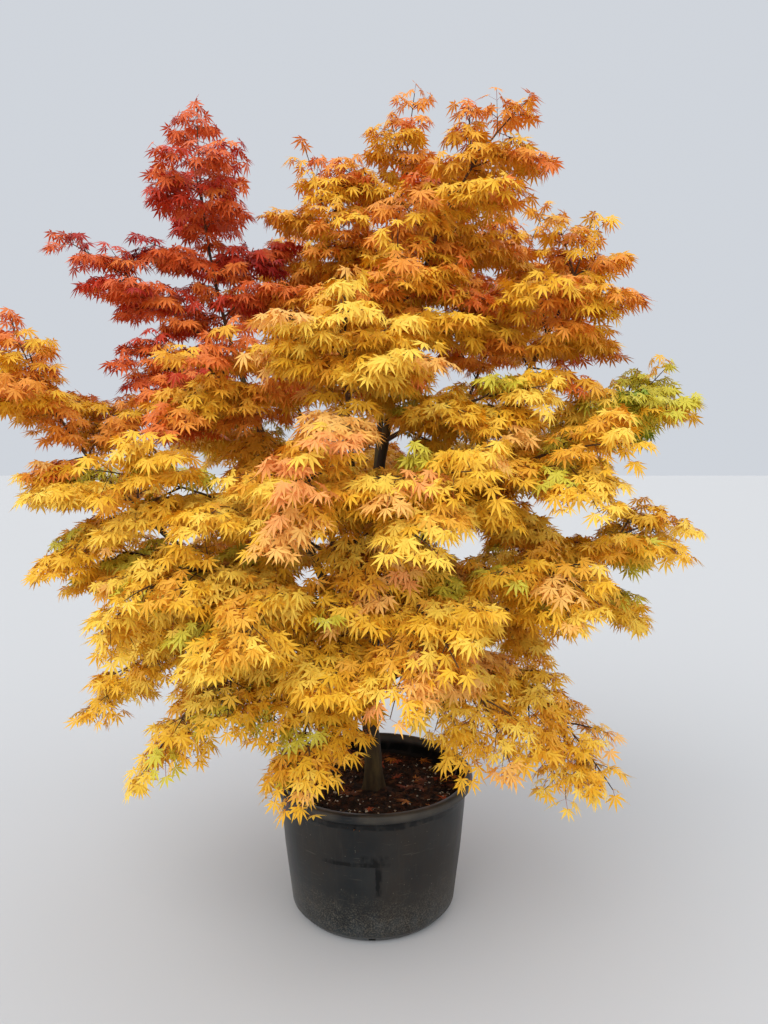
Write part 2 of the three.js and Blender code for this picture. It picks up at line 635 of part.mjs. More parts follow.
// The points of a leaf that are tested against its space and the limbs.
function leafSamples(leaf) {
  const points = [];
  for (const share of LEAF_TEST_SHARES) {
    const fullness = share < LEAF_WIDEST ? share / LEAF_WIDEST : (1 - share) / (1 - LEAF_WIDEST);
    const halfWidth = (leaf.width / 2) * fullness;
    for (const side of LEAF_TEST_SIDES) {
      points.push(leaf.base.clone()
        .addScaledVector(leaf.along, leaf.length * share)
        .addScaledVector(leaf.across, halfWidth * side));
    }
  }
  return points;
}

// Whether a straight line between two points passes through a triangle.
function crosses(start, end, a, b, c) {
  const direction = end.clone().sub(start);
  const reach = direction.length();
  const ray = new THREE.Ray(start, direction.normalize());
  const hit = ray.intersectTriangle(a, b, c, false, new THREE.Vector3());
  return hit !== null && hit.distanceTo(start) < reach;
}

// A leaf's outline, from just past its root round its widest place and tip.
function leafOutline(leaf) {
  const [, left, , right, tip] = leafCorners(leaf);
  return [leaf.base.clone().addScaledVector(leaf.along, leaf.length * LEAF_STALK), left, tip, right];
}

// Whether any of some lines passes through a leaf's outline.
function anyCrosses(lines, [root, left, tip, right]) {
  return lines.some(([start, end]) => (
    crosses(start, end, root, left, tip) || crosses(start, end, root, tip, right)
  ));
}

function edgesOf(outline) {
  return outline.map((corner, index) => [corner, outline[(index + 1) % outline.length]]);
}

// Whether a leaf would cut through another leaf or a twig of its own mass, over or under its middle.
function meetsOwn(mass, leaf) {
  return [LEAF_THICKNESS, -LEAF_THICKNESS].some((lift) => {
    const outline = leafOutline(leaf).map((corner) => corner.addScaledVector(leaf.over, lift));
    const edges = edgesOf(outline);
    return anyCrosses(mass.twigLines, outline) || mass.outlines.some((other) => (
      anyCrosses(edges, other) || anyCrosses(edgesOf(other), outline)
    ));
  });
}

// A leaf that hangs from a twig, turned aside from the twig's line, or null where no size of it is free.
function placeLeaf(mass, base, direction, aside) {
  const across = acrossOf(direction, mass.space.axes[1]);
  const swung = direction.clone().applyAxisAngle(across.clone().cross(direction), radians(aside));
  const level = Math.hypot(swung.x, swung.y);
  const along = swung.clone().addScaledVector(UP, -Math.tan(radians(LEAF_DROOP)) * level).normalize();
  const leafAcross = acrossOf(along, mass.space.axes[1]);
  const over = leafAcross.clone().cross(along);
  for (const size of LEAF_SIZES) {
    const length = LEAF_LENGTH * size;
    const leaf = { base, along, across: leafAcross, over, length, width: LEAF_WIDTH * size };
    const fits = () => leafSamples(leaf).every((point) => isFree(mass, point, LEAF_MARGIN, LEAF_LIMIT));
    if (!meetsOwn(mass, leaf) && fits()) {
      mass.outlines.push(leafOutline(leaf));
      return leaf;
    }
  }
  return null;
}

// The length of a straight twig that stays free, up to the length planned for it.
function freeLength(mass, base, direction, planned) {
  for (let length = TWIG_BARE; length < planned; length += TWIG_TEST_STEP) {
    if (!isFree(mass, base.clone().addScaledVector(direction, length), TWIG_MARGIN, TWIG_LIMIT)) {
      return length - TWIG_TEST_STEP;
    }
  }
  return planned;
}

// The point at a share of a stem's curve as the stem is made: on the straight line between two of its rings.
function pointInStem(curve, end, share) {
  const place = (share / end) * STEM_STEPS;
  const before = Math.min(Math.floor(place), STEM_STEPS - 1);
  const from = curve.getPointAt((end * before) / STEM_STEPS);
  return from.lerp(curve.getPointAt((end * (before + 1)) / STEM_STEPS), place - before);
}

// The seeded rule: pairs of twigs leave the stem, each pair turned from the last, and reach towards the skin
// of the space. Each twig and the stem end in a leaf, and other leaves hang beside them.
function growMass(mass) {
  const roll = dice(mass.seed);
  const { curve, space } = mass;
  mass.outlines = [];
  mass.twigLines = [];
  const end = lerp(space.leafyFrom, 1, STEM_END_SHARE);
  const stemDirection = curve.getTangentAt(end);
  const stem = { end, endLeaf: placeLeaf(mass, curve.getPointAt(end), stemDirection, 0) };
  const twigs = [];
  const pairs = mass.turn < UPRIGHT_TURN ? PAIRS : UPRIGHT_PAIRS;
  for (let pair = 0; pair < pairs; pair++) {
    const share = lerp(space.leafyFrom, end, (pair + FIRST_PAIR) / pairs);
    const base = pointInStem(curve, end, share);
    const tangent = curve.getTangentAt(share);
    const across = acrossOf(tangent, space.axes[1]);
    const turn = mass.turn * (pair - (pairs - 1) / 2) + TURN_SCATTER * (roll() - 0.5);
    for (const side of [1, -1]) {
      const spread = lerp(SPREAD_FIRST, SPREAD_LAST, pair / (pairs - 1)) + SPREAD_SCATTER * (roll() - 0.5);
      const fullness = lerp(TWIG_SHORTEST, 1, roll());
      const swing = ASIDE_SCATTER * (roll() - 0.5);
      const outward = across.clone().multiplyScalar(side).applyAxisAngle(tangent, radians(turn));
      const direction = tangent.clone().multiplyScalar(Math.cos(radians(spread)))
        .addScaledVector(outward, Math.sin(radians(spread)));
      const planned = (distanceToSkin(space, base, direction) - LEAF_LENGTH * LEAF_SHOW) * fullness;
      const length = freeLength(mass, base, direction, Math.max(planned, TWIG_SHORT));
      if (length >= TWIG_SHORT) {
        const tip = base.clone().addScaledVector(direction, length);
        twigs.push({ base, tip, direction, length, side, swing });
        mass.twigLines.push([base, base.clone().lerp(tip, TWIG_TEST_SHARE)]);
      }
    }
  }
  for (const twig of twigs) {
    twig.endLeaf = placeLeaf(mass, twig.tip, twig.direction, END_ASIDE * twig.side + twig.swing);
  }
  const leafyTwigs = twigs.filter((twig) => twig.endLeaf !== null);
  const sideLeaves = [];
  for (const { place, aside } of TWIG_LEAVES) {
    for (const { base, tip, direction, side, swing } of leafyTwigs) {
      sideLeaves.push(placeLeaf(mass, base.clone().lerp(tip, place), direction, aside * side + swing));
    }
  }
  for (const aside of STEM_LEAF_ASIDES) {
    sideLeaves.push(placeLeaf(mass, pointInStem(curve, end, end * STEM_LEAF_PLACE), stemDirection, aside));
  }
  return { stem, twigs: leafyTwigs, sideLeaves: sideLeaves.filter((leaf) => leaf !== null) };
}

// A stem or twig with the leaf that it ends in, or with a flat end where that leaf found no room.
function leafySolid(rings, leaf) {
  return solidOf(leaf === null ? tube(rings) : endLeafGeometry(rings, leaf));
}

function massSolid(mass) {
  const { stem, twigs, sideLeaves } = growMass(mass);
  const stemWall = (share) => lerp(mass.foot, STEM_TIP_RADIUS, share);
  const over = mass.space.axes[2];
  const turn = Math.PI / STEM_SIDES;
  const stemRings = ringsAlong(mass.curve, stemWall, STEM_SIDES, STEM_STEPS, over, turn, stem.end);
  let solid = leafySolid(stemRings, stem.endLeaf);
  for (const { base, tip, direction, endLeaf } of twigs) {
    const line = new THREE.LineCurve3(base, tip);
    const twigOver = acrossOf(direction, mass.space.axes[1]).cross(direction);
    const twigRings = ringsAlong(line, () => TWIG_RADIUS, TWIG_SIDES, 1, twigOver, Math.PI / TWIG_SIDES);
    solid = solid.add(leafySolid(twigRings, endLeaf));
  }
  for (const leaf of sideLeaves) {
    solid = solid.add(solidOf(sideLeafGeometry(leaf)));
  }
  return solid;
}

const masses = [];
const obstacles = new Map();
for (const limb of limbs.values()) {
  obstacles.set(limb.name, obstaclePoints(limb.curve, (share) => limb.wallAt(share, 0)));
}
MASSES.forEach((sizes, index) => {
  const parent = limbs.get(sizes.from);
  const curve = branchCurve(sizes);
  const footShare = sizes.at === 1 ? STEM_END_FOOT_SHARE : STEM_FOOT_SHARE;
  const foot = Math.min(STEM_FOOT_MAX, parent.wallAt(sizes.at, 0) * footShare);
  masses.push({ ...sizes, seed: FIRST_SEED + index, curve, foot, space: spaceOf(sizes, curve) });
  obstacles.set(sizes.name, obstaclePoints(curve, () => foot));
});
for (const mass of masses) {
  const clear = limbSolid(limbs.get(mass.from), GAP);
  addPart(mass.name, geometryOf(massSolid(mass).subtract(clear)), COLOURS[mass.tint], ROUGHNESS.leaf);
}

export default group;
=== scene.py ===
"""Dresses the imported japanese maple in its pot: bark, twigs, autumn leaves, moulded pot and bark mix.

Metres, +Z up, with the front of the crown towards -Y and the origin under the middle of the pot.
"""

import json
import logging
import math
from collections import defaultdict
from dataclasses import dataclass
from enum import Enum
from typing import ClassVar, Iterator, Sequence

import bpy
import numpy as np
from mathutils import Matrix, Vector

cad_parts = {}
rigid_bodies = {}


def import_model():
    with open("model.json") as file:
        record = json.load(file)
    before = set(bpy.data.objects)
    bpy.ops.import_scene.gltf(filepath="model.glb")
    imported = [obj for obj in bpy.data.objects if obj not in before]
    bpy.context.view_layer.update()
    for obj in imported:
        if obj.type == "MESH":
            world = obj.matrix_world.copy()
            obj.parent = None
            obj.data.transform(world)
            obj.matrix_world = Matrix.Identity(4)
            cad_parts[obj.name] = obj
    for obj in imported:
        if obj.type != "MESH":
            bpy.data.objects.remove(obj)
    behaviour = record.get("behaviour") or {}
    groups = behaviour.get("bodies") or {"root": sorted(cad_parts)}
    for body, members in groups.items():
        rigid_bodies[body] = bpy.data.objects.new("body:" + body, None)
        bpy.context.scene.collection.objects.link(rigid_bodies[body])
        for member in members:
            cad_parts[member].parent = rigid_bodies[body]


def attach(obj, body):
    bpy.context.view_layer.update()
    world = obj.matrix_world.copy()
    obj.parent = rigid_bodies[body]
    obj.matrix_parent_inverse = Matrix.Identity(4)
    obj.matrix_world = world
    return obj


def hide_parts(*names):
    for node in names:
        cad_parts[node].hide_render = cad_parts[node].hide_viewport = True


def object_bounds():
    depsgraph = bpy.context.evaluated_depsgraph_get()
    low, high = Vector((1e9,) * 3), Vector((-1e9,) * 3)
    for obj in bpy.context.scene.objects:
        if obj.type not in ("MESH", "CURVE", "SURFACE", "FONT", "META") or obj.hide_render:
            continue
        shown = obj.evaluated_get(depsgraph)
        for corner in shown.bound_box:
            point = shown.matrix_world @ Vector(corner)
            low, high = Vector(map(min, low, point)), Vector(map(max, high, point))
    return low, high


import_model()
CAD_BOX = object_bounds()

log = logging.getLogger("maple")
Array = np.ndarray
Span = tuple[float, float]
Colour = tuple[float, float, float]
Socket = bpy.types.NodeSocket
UP = np.array([0.0, 0.0, 1.0])
BODY = "root"
POT_TOP, POT_REACH = 0.437, 0.332  # The height and the radius that twigs and leaves keep out of.
UPRIGHT_SINE = 0.25  # A twig stands nearly upright where the sine of its lean is under this.
LEAF_KINDS = 8  # How many outlines of leaves there are to pick from.


def polar(heading: float, reach: float, height: float) -> Array:
    """A point round the pot's axis.

    Args:
        heading: Degrees, where 0 is +X and 90 is +Y.
        reach: Distance from the axis.
        height: Height above the pot's underside.

    Returns:
        The point as three numbers.
    """
    angle = math.radians(heading)
    return np.array([reach * math.cos(angle), reach * math.sin(angle), height])


def unit(vectors: Array) -> Array:
    """Vectors of length 1 along the given ones."""
    return vectors / np.maximum(np.linalg.norm(vectors, axis=-1, keepdims=True), 1e-12)


def lerp(start: float | Array, end: float | Array, share: float | Array) -> float | Array:
    """The value at a share of the way from start to end."""
    return start + (end - start) * share


def turned_about(vector: Array, axis: Array, angle: float) -> Array:
    """A vector turned about a unit axis by an angle in radians."""
    return (vector * math.cos(angle) + np.cross(axis, vector) * math.sin(angle)
            + axis * axis.dot(vector) * (1 - math.cos(angle)))


def linear(colour: Sequence[float]) -> tuple[float, float, float, float]:
    """A screen colour as the linear colour, with full alpha, that a shader takes."""
    return tuple(((c + 0.055) / 1.055) ** 2.4 for c in colour) + (1.0,)


class Dice:
    """The seeded run of numbers from 0 to 1 that the source of the solids draws too."""

    FACTOR, ADDEND, LIMIT = 1664525, 1013904223, 2 ** 32

    def __init__(self, seed: int) -> None:
        """Starts the run.

        Args:
            seed: A whole number that names the run.
        """
        self.state = seed

    def roll(self) -> float:
        """The next number."""
        self.state = (self.state * self.FACTOR + self.ADDEND) % self.LIMIT
        return self.state / self.LIMIT

    def between(self, low: float, high: float) -> float:
        """The next number, spread from low to high."""
        return lerp(low, high, self.roll())

    def about(self, width: float) -> float:
        """The next number, spread over a width that has zero in its middle."""
        return width * (self.roll() - 0.5)


class Bend:
    """A quadratic Bezier curve that is read by shares of its length."""

    STEPS = 200

    def __init__(self, start: Array, middle: Array, end: Array) -> None:
        """Lays out the curve.

        Args:
            start: Where it starts.
            middle: The point that it bends towards.
            end: Where it ends.
        """
        self.start, self.middle, self.end = start, middle, end
        places = np.linspace(0, 1, self.STEPS + 1)
        steps = np.linalg.norm(np.diff(self.at_places(places), axis=0), axis=1)
        self.lengths = np.concatenate([[0], np.cumsum(steps)])
        self.places = places

    def at_places(self, places: Array) -> Array:
        """The points at the Bezier curve's own parameters."""
        t = places[..., None]
        return (1 - t) ** 2 * self.start + 2 * t * (1 - t) * self.middle + t ** 2 * self.end

    def place_of(self, share: float | Array) -> Array:
        """The Bezier parameters at shares of the length."""
        return np.interp(np.asarray(share, float) * self.lengths[-1], self.lengths, self.places)

    def point(self, share: float | Array) -> Array:
        """The points at shares of the length."""
        return self.at_places(self.place_of(share))

    def tangent(self, share: float | Array) -> Array:
        """The unit directions at shares of the length."""
        t = self.place_of(share)[..., None]
        return unit((1 - t) * (self.middle - self.start) + t * (self.end - self.middle))

    @property
    def length(self) -> float:
        """The curve's length."""
        return float(self.lengths[-1])


class Tint(Enum):
    """The autumn tints of the leaves, each as a screen colour and the record's slot nearest to it."""

    YELLOW = ((1.00, 0.83, 0.30), "leaf_gold")
    GOLD = ((0.98, 0.76, 0.20), "leaf_gold")
    HONEY = ((0.95, 0.69, 0.19), "leaf_amber")
    AMBER = ((0.94, 0.60, 0.20), "leaf_amber")
    PEACH = ((1.00, 0.76, 0.38), "leaf_peach")
    CORAL = ((0.99, 0.67, 0.36), "leaf_peach")
    ORANGE = ((0.93, 0.50, 0.20), "leaf_orange")
    RUST = ((0.88, 0.40, 0.17), "leaf_red")
    RED = ((0.81, 0.25, 0.13), "leaf_red")
    CRIMSON = ((0.68, 0.16, 0.11), "leaf_crimson")
    LIME = ((0.86, 0.80, 0.25), "leaf_lime")
    GREEN = ((0.60, 0.68, 0.20), "leaf_lime")

    @property
    def colour(self) -> Colour:
        """The screen colour."""
        return self.value[0]

    @property
    def slot(self) -> str:
        """The record's material slot."""
        return self.value[1]


class Palette(Enum):
    """The tints of a mass's sprays with their shares, inside it and at its skin, and its openness."""

    GOLD = (((Tint.GOLD, 0.46), (Tint.HONEY, 0.24), (Tint.YELLOW, 0.18), (Tint.LIME, 0.12)),
            ((Tint.YELLOW, 0.42), (Tint.GOLD, 0.42), (Tint.HONEY, 0.08), (Tint.PEACH, 0.08)), 1)
    PEACH = (((Tint.GOLD, 0.50), (Tint.YELLOW, 0.30), (Tint.HONEY, 0.20)),
             ((Tint.PEACH, 0.36), (Tint.CORAL, 0.14), (Tint.YELLOW, 0.28), (Tint.GOLD, 0.22)), 1)
    AMBER = (((Tint.HONEY, 0.50), (Tint.GOLD, 0.30), (Tint.AMBER, 0.20)),
             ((Tint.GOLD, 0.40), (Tint.HONEY, 0.34), (Tint.AMBER, 0.26)), 1)
    ORANGE = (((Tint.HONEY, 0.42), (Tint.GOLD, 0.32), (Tint.AMBER, 0.26)),
              ((Tint.AMBER, 0.34), (Tint.HONEY, 0.28), (Tint.ORANGE, 0.22), (Tint.GOLD, 0.16)), 1)
    RED = (((Tint.AMBER, 0.42), (Tint.ORANGE, 0.40), (Tint.RUST, 0.18)),
           ((Tint.RUST, 0.42), (Tint.ORANGE, 0.34), (Tint.RED, 0.24)), 1.15)
    CRIMSON = (((Tint.RUST, 0.46), (Tint.ORANGE, 0.30), (Tint.RED, 0.24)),
               ((Tint.RED, 0.34), (Tint.RUST, 0.38), (Tint.CRIMSON, 0.14), (Tint.ORANGE, 0.14)), 1.3)
    LIME = (((Tint.LIME, 0.46), (Tint.GOLD, 0.34), (Tint.GREEN, 0.20)),
            ((Tint.YELLOW, 0.46), (Tint.LIME, 0.32), (Tint.GOLD, 0.22)), 1)

    def dealt(self, outside: bool, roll: float) -> Tint:
        """The tint that a number from 0 to 1 picks for a spray inside a mass or at its skin."""
        choices = self.value[1 if outside else 0]
        for tint, share in choices:
            if roll < share:
                return tint
            roll -= share
        return choices[0][0]

    @property
    def openness(self) -> float:
        """How many times further apart than usual the sprays and leaves are."""
        return self.value[2]


@dataclass
class Limb:
    """One stem or bough.

    It leaves its parent at a share of that one's length and ends at a heading, a reach and a height.
    Its middle is raised by the rise and drawn in by the hug. The foot and the tip are its radii.
    """

    name: str
    parent: str
    at: float
    heading: float
    reach: float
    height: float
    rise: float
    hug: float
    foot: float
    tip: float


@dataclass
class Mass:
    """One mass of foliage.

    Its stem runs as a limb does. Its leafy part has a length, a width and a depth, and each pair of twigs
    is turned about the stem from the one before.
    """

    name: str
    parent: str
    at: float
    heading: float
    reach: float
    height: float
    rise: float
    long: float
    wide: float
    deep: float
    turn: float
    palette: Palette
    hug: float = 0.0


LIMBS = (
    Limb("stem_centre", "trunk", 1, 318, 0.150, 1.830, 0, 0.080, 0.021, 0.009),
    Limb("stem_left", "trunk", 0.98, 163, 0.480, 1.790, 0, -0.060, 0.019, 0.008),
    Limb("stem_right", "stem_centre", 0.05, 346, 0.440, 1.640, 0, 0.020, 0.017, 0.008),
    Limb("stem_back", "trunk", 0.95, 78, 0.230, 1.850, 0, 0.040, 0.016, 0.008),
    Limb("stem_front", "trunk", 0.93, 262, 0.400, 1.520, 0.060, 0, 0.015, 0.007),
    Limb("stem_far_left", "trunk", 0.74, 181, 0.830, 1.370, -0.070, 0, 0.017, 0.007),
    Limb("stem_back_right", "trunk", 0.9, 48, 0.480, 1.600, 0.020, 0, 0.015, 0.007),
    Limb("stem_back_left", "trunk", 0.86, 124, 0.490, 1.600, 0.020, 0, 0.015, 0.007),
    Limb("bough_low_left", "trunk", 0.34, 199, 0.430, 0.800, 0.060, 0, 0.010, 0.006),
    Limb("bough_front_left", "trunk", 0.66, 231, 0.500, 1.060, 0.050, 0, 0.013, 0.006),
    Limb("bough_front", "trunk", 0.56, 246, 0.380, 0.960, 0.060, 0, 0.011, 0.006),
    Limb("bough_front_right", "trunk", 0.82, 312, 0.420, 1.040, 0.060, 0, 0.012, 0.006),
    Limb("bough_right", "trunk", 0.7, 345, 0.480, 1.010, 0.040, 0, 0.012, 0.006),
    Limb("bough_far_right", "stem_right", 0.5, 7, 0.600, 1.430, 0.040, 0, 0.009, 0.005),
    Limb("bough_back_right", "trunk", 0.62, 35, 0.460, 0.980, 0.050, 0, 0.012, 0.006),
    Limb("bough_back_left", "trunk", 0.58, 140, 0.460, 0.960, 0.050, 0, 0.012, 0.006),
)

MASSES = (
    Mass("foliage_skirt_left", "bough_low_left", 1, 188, 0.87, 0.67, 0.11, 0.54, 0.42, 0.26, 30,
         Palette.GOLD),
    Mass("foliage_skirt_front_left", "bough_front_left", 0.55, 219, 0.77, 0.61, 0.23, 0.56, 0.44, 0.26,
         30, Palette.GOLD),
    Mass("foliage_skirt_front", "bough_front", 0.6, 248, 0.55, 0.57, 0.19, 0.46, 0.32, 0.3, 30,
         Palette.GOLD),
    Mass("foliage_skirt_front_right", "bough_front_right", 0.5, 309, 0.59, 0.63, 0.21, 0.52, 0.44,
         0.28, 30, Palette.GOLD),
    Mass("foliage_skirt_right", "bough_right", 0.55, 336, 0.75, 0.5, 0.16, 0.56, 0.44, 0.3, 30,
         Palette.GOLD),
    Mass("foliage_skirt_back_right", "bough_back_right", 0.6, 34, 0.68, 0.75, 0.22, 0.54, 0.56, 0.42,
         30, Palette.GOLD),
    Mass("foliage_skirt_back", "stem_back", 0.12, 86, 0.76, 0.56, 0.26, 0.56, 0.6, 0.48, 30, Palette.AMBER),
    Mass("foliage_skirt_back_left", "bough_back_left", 0.6, 139, 0.79, 0.59, 0.22, 0.56, 0.58, 0.38,
         30, Palette.GOLD),
    Mass("foliage_low_left", "stem_far_left", 0.5, 187, 0.95, 1.14, 0.12, 0.56, 0.6, 0.52, 40,
         Palette.GOLD),
    Mass("foliage_low_front_left", "bough_front_left", 1, 223, 0.88, 1.03, 0.12, 0.56, 0.5, 0.46, 40,
         Palette.GOLD),
    Mass("foliage_low_front", "bough_front", 1, 252, 0.84, 1.05, 0.15, 0.56, 0.52, 0.44, 40, Palette.GOLD),
    Mass("foliage_low_front_right", "stem_front", 0.3, 284, 0.81, 1, 0.2, 0.56, 0.52, 0.54, 40,
         Palette.PEACH),
    Mass("foliage_low_right_front", "bough_front_right", 1, 315, 0.79, 1.09, 0.14, 0.56, 0.48, 0.56,
         40, Palette.GOLD),
    Mass("foliage_low_right", "bough_right", 1, 353, 0.93, 1.25, 0.12, 0.6, 0.7, 0.52, 35, Palette.GOLD),
    Mass("foliage_low_back_right", "bough_back_right", 1, 30, 0.93, 1, 0.12, 0.56, 0.66, 0.64, 40,
         Palette.GOLD),
    Mass("foliage_low_back", "stem_back_left", 0.2, 78, 0.9, 1, 0.15, 0.58, 0.86, 0.6, 40, Palette.AMBER),
    Mass("foliage_low_back_left", "bough_back_left", 1, 122, 0.92, 1, 0.14, 0.56, 0.64, 0.48, 40,
         Palette.AMBER),
    Mass("foliage_low_left_back", "stem_far_left", 0.4, 155, 0.95, 1.06, 0.13, 0.6, 0.62, 0.58, 40,
         Palette.GOLD),
    Mass("foliage_far_left", "stem_far_left", 1, 179, 1.12, 1.86, 0.04, 0.64, 0.6, 0.46, 50,
         Palette.ORANGE),
    Mass("foliage_mid_left", "stem_far_left", 0.82, 183, 1.06, 1.37, 0.11, 0.56, 0.62, 0.56, 45,
         Palette.GOLD),
    Mass("foliage_mid_front_left", "stem_front", 0.42, 217, 0.88, 1.42, 0.12, 0.62, 0.56, 0.6, 50,
         Palette.GOLD),
    Mass("foliage_mid_front", "stem_front", 0.7, 258, 0.82, 1.38, 0.13, 0.56, 0.56, 0.52, 50,
         Palette.PEACH),
    Mass("foliage_mid_front_right", "stem_front", 0.55, 288, 0.8, 1.42, 0.13, 0.6, 0.56, 0.7, 50,
         Palette.GOLD),
    Mass("foliage_mid_right_front", "stem_right", 0.5, 321, 0.84, 1.48, 0.13, 0.6, 0.54, 0.62, 50,
         Palette.GOLD),
    Mass("foliage_far_right", "bough_far_right", 1, 5, 0.94, 1.72, 0.07, 0.54, 0.72, 0.46, 35,
         Palette.LIME),
    Mass("foliage_mid_back_right", "stem_back_right", 0.6, 42, 0.93, 1.54, 0.11, 0.6, 0.68, 0.66, 50,
         Palette.GOLD),
    Mass("foliage_mid_back", "stem_back_left", 0.5, 88, 0.9, 1.52, 0.13, 0.62, 0.62, 0.6, 50,
         Palette.AMBER),
    Mass("foliage_mid_back_left", "stem_back_left", 0.7, 138, 0.94, 1.56, 0.11, 0.62, 0.68, 0.58, 50,
         Palette.GOLD),
    Mass("foliage_red_arm", "stem_left", 0.92, 174, 1, 2.13, 0.07, 0.62, 0.4, 0.28, 40, Palette.CRIMSON),
    Mass("foliage_red_shoulder", "stem_left", 0.76, 176, 0.78, 1.77, 0.09, 0.56, 0.48, 0.42, 40,
         Palette.RED),
    Mass("foliage_high_front_left", "stem_left", 0.7, 219, 0.61, 1.72, 0.06, 0.6, 0.6, 0.6, 45,
         Palette.ORANGE),
    Mass("foliage_high_front", "stem_front", 1, 264, 0.54, 1.88, 0, 0.62, 0.64, 0.6, 60, Palette.PEACH),
    Mass("foliage_high_front_right", "stem_centre", 0.66, 319, 0.62, 1.63, 0.06, 0.6, 0.6, 0.58, 45,
         Palette.GOLD),
    Mass("foliage_right_shoulder", "stem_right", 1, 352, 0.65, 2.13, 0, 0.74, 0.64, 0.58, 60,
         Palette.ORANGE),
    Mass("foliage_high_back_right", "stem_back_right", 1, 40, 0.82, 2.34, 0, 0.74, 0.64, 0.62, 60,
         Palette.ORANGE),
    Mass("foliage_high_back_left", "stem_back_left", 1, 120, 0.66, 2.23, 0, 0.7, 0.6, 0.62, 60,
         Palette.ORANGE),
    Mass("foliage_spire_left", "stem_left", 1, 165, 0.58, 2.54, 0, 0.78, 0.66, 0.5, 60, Palette.CRIMSON),
    Mass("foliage_peak_left", "stem_back", 0.72, 135, 0.32, 2.45, 0.06, 0.78, 0.6, 0.56, 60,
         Palette.ORANGE),
    Mass("foliage_peak_centre", "stem_back", 1, 60, 0.27, 2.62, 0, 0.76, 0.56, 0.52, 60, Palette.ORANGE),
    Mass("foliage_peak_right", "stem_centre", 1, 336, 0.47, 2.42, 0.06, 0.74, 0.58, 0.52, 60,
         Palette.ORANGE),
    Mass("foliage_peak_front", "stem_centre", 0.85, 281, 0.37, 2.03, 0.04, 0.6, 0.6, 0.52, 60,
         Palette.ORANGE),
)


def grey(value: float) -> Colour:
    """A grey, which stands for a share where a node takes a colour."""
    return value, value, value


@dataclass(frozen=True)
class Grain:
    """Noise over a surface: blotches to a metre, octaves of finer noise, and the scale along each axis."""

    scale: float
    detail: float
    stretch: tuple[float, float, float] = (1, 1, 1)


@dataclass(frozen=True)
class Blotches:
    """A share that noise spreads over a surface: where it sets in and is full, and its least and most."""

    grain: Grain
    low: float
    high: float
    most: float = 1
    least: float = 0


@dataclass(frozen=True)
class Patch:
    """A place on a surface: its spans in metres and how far noise shifts its edge, as a share of them."""

    z: Span
    raggedness: float
    x: Span | None = None
    y: Span | None = None

    @property
    def spans(self) -> list[tuple[str, Span]]:
        """The spans along the axes that have one."""
        return [(axis, span) for axis, span in (("X", self.x), ("Y", self.y), ("Z", self.z)) if span]


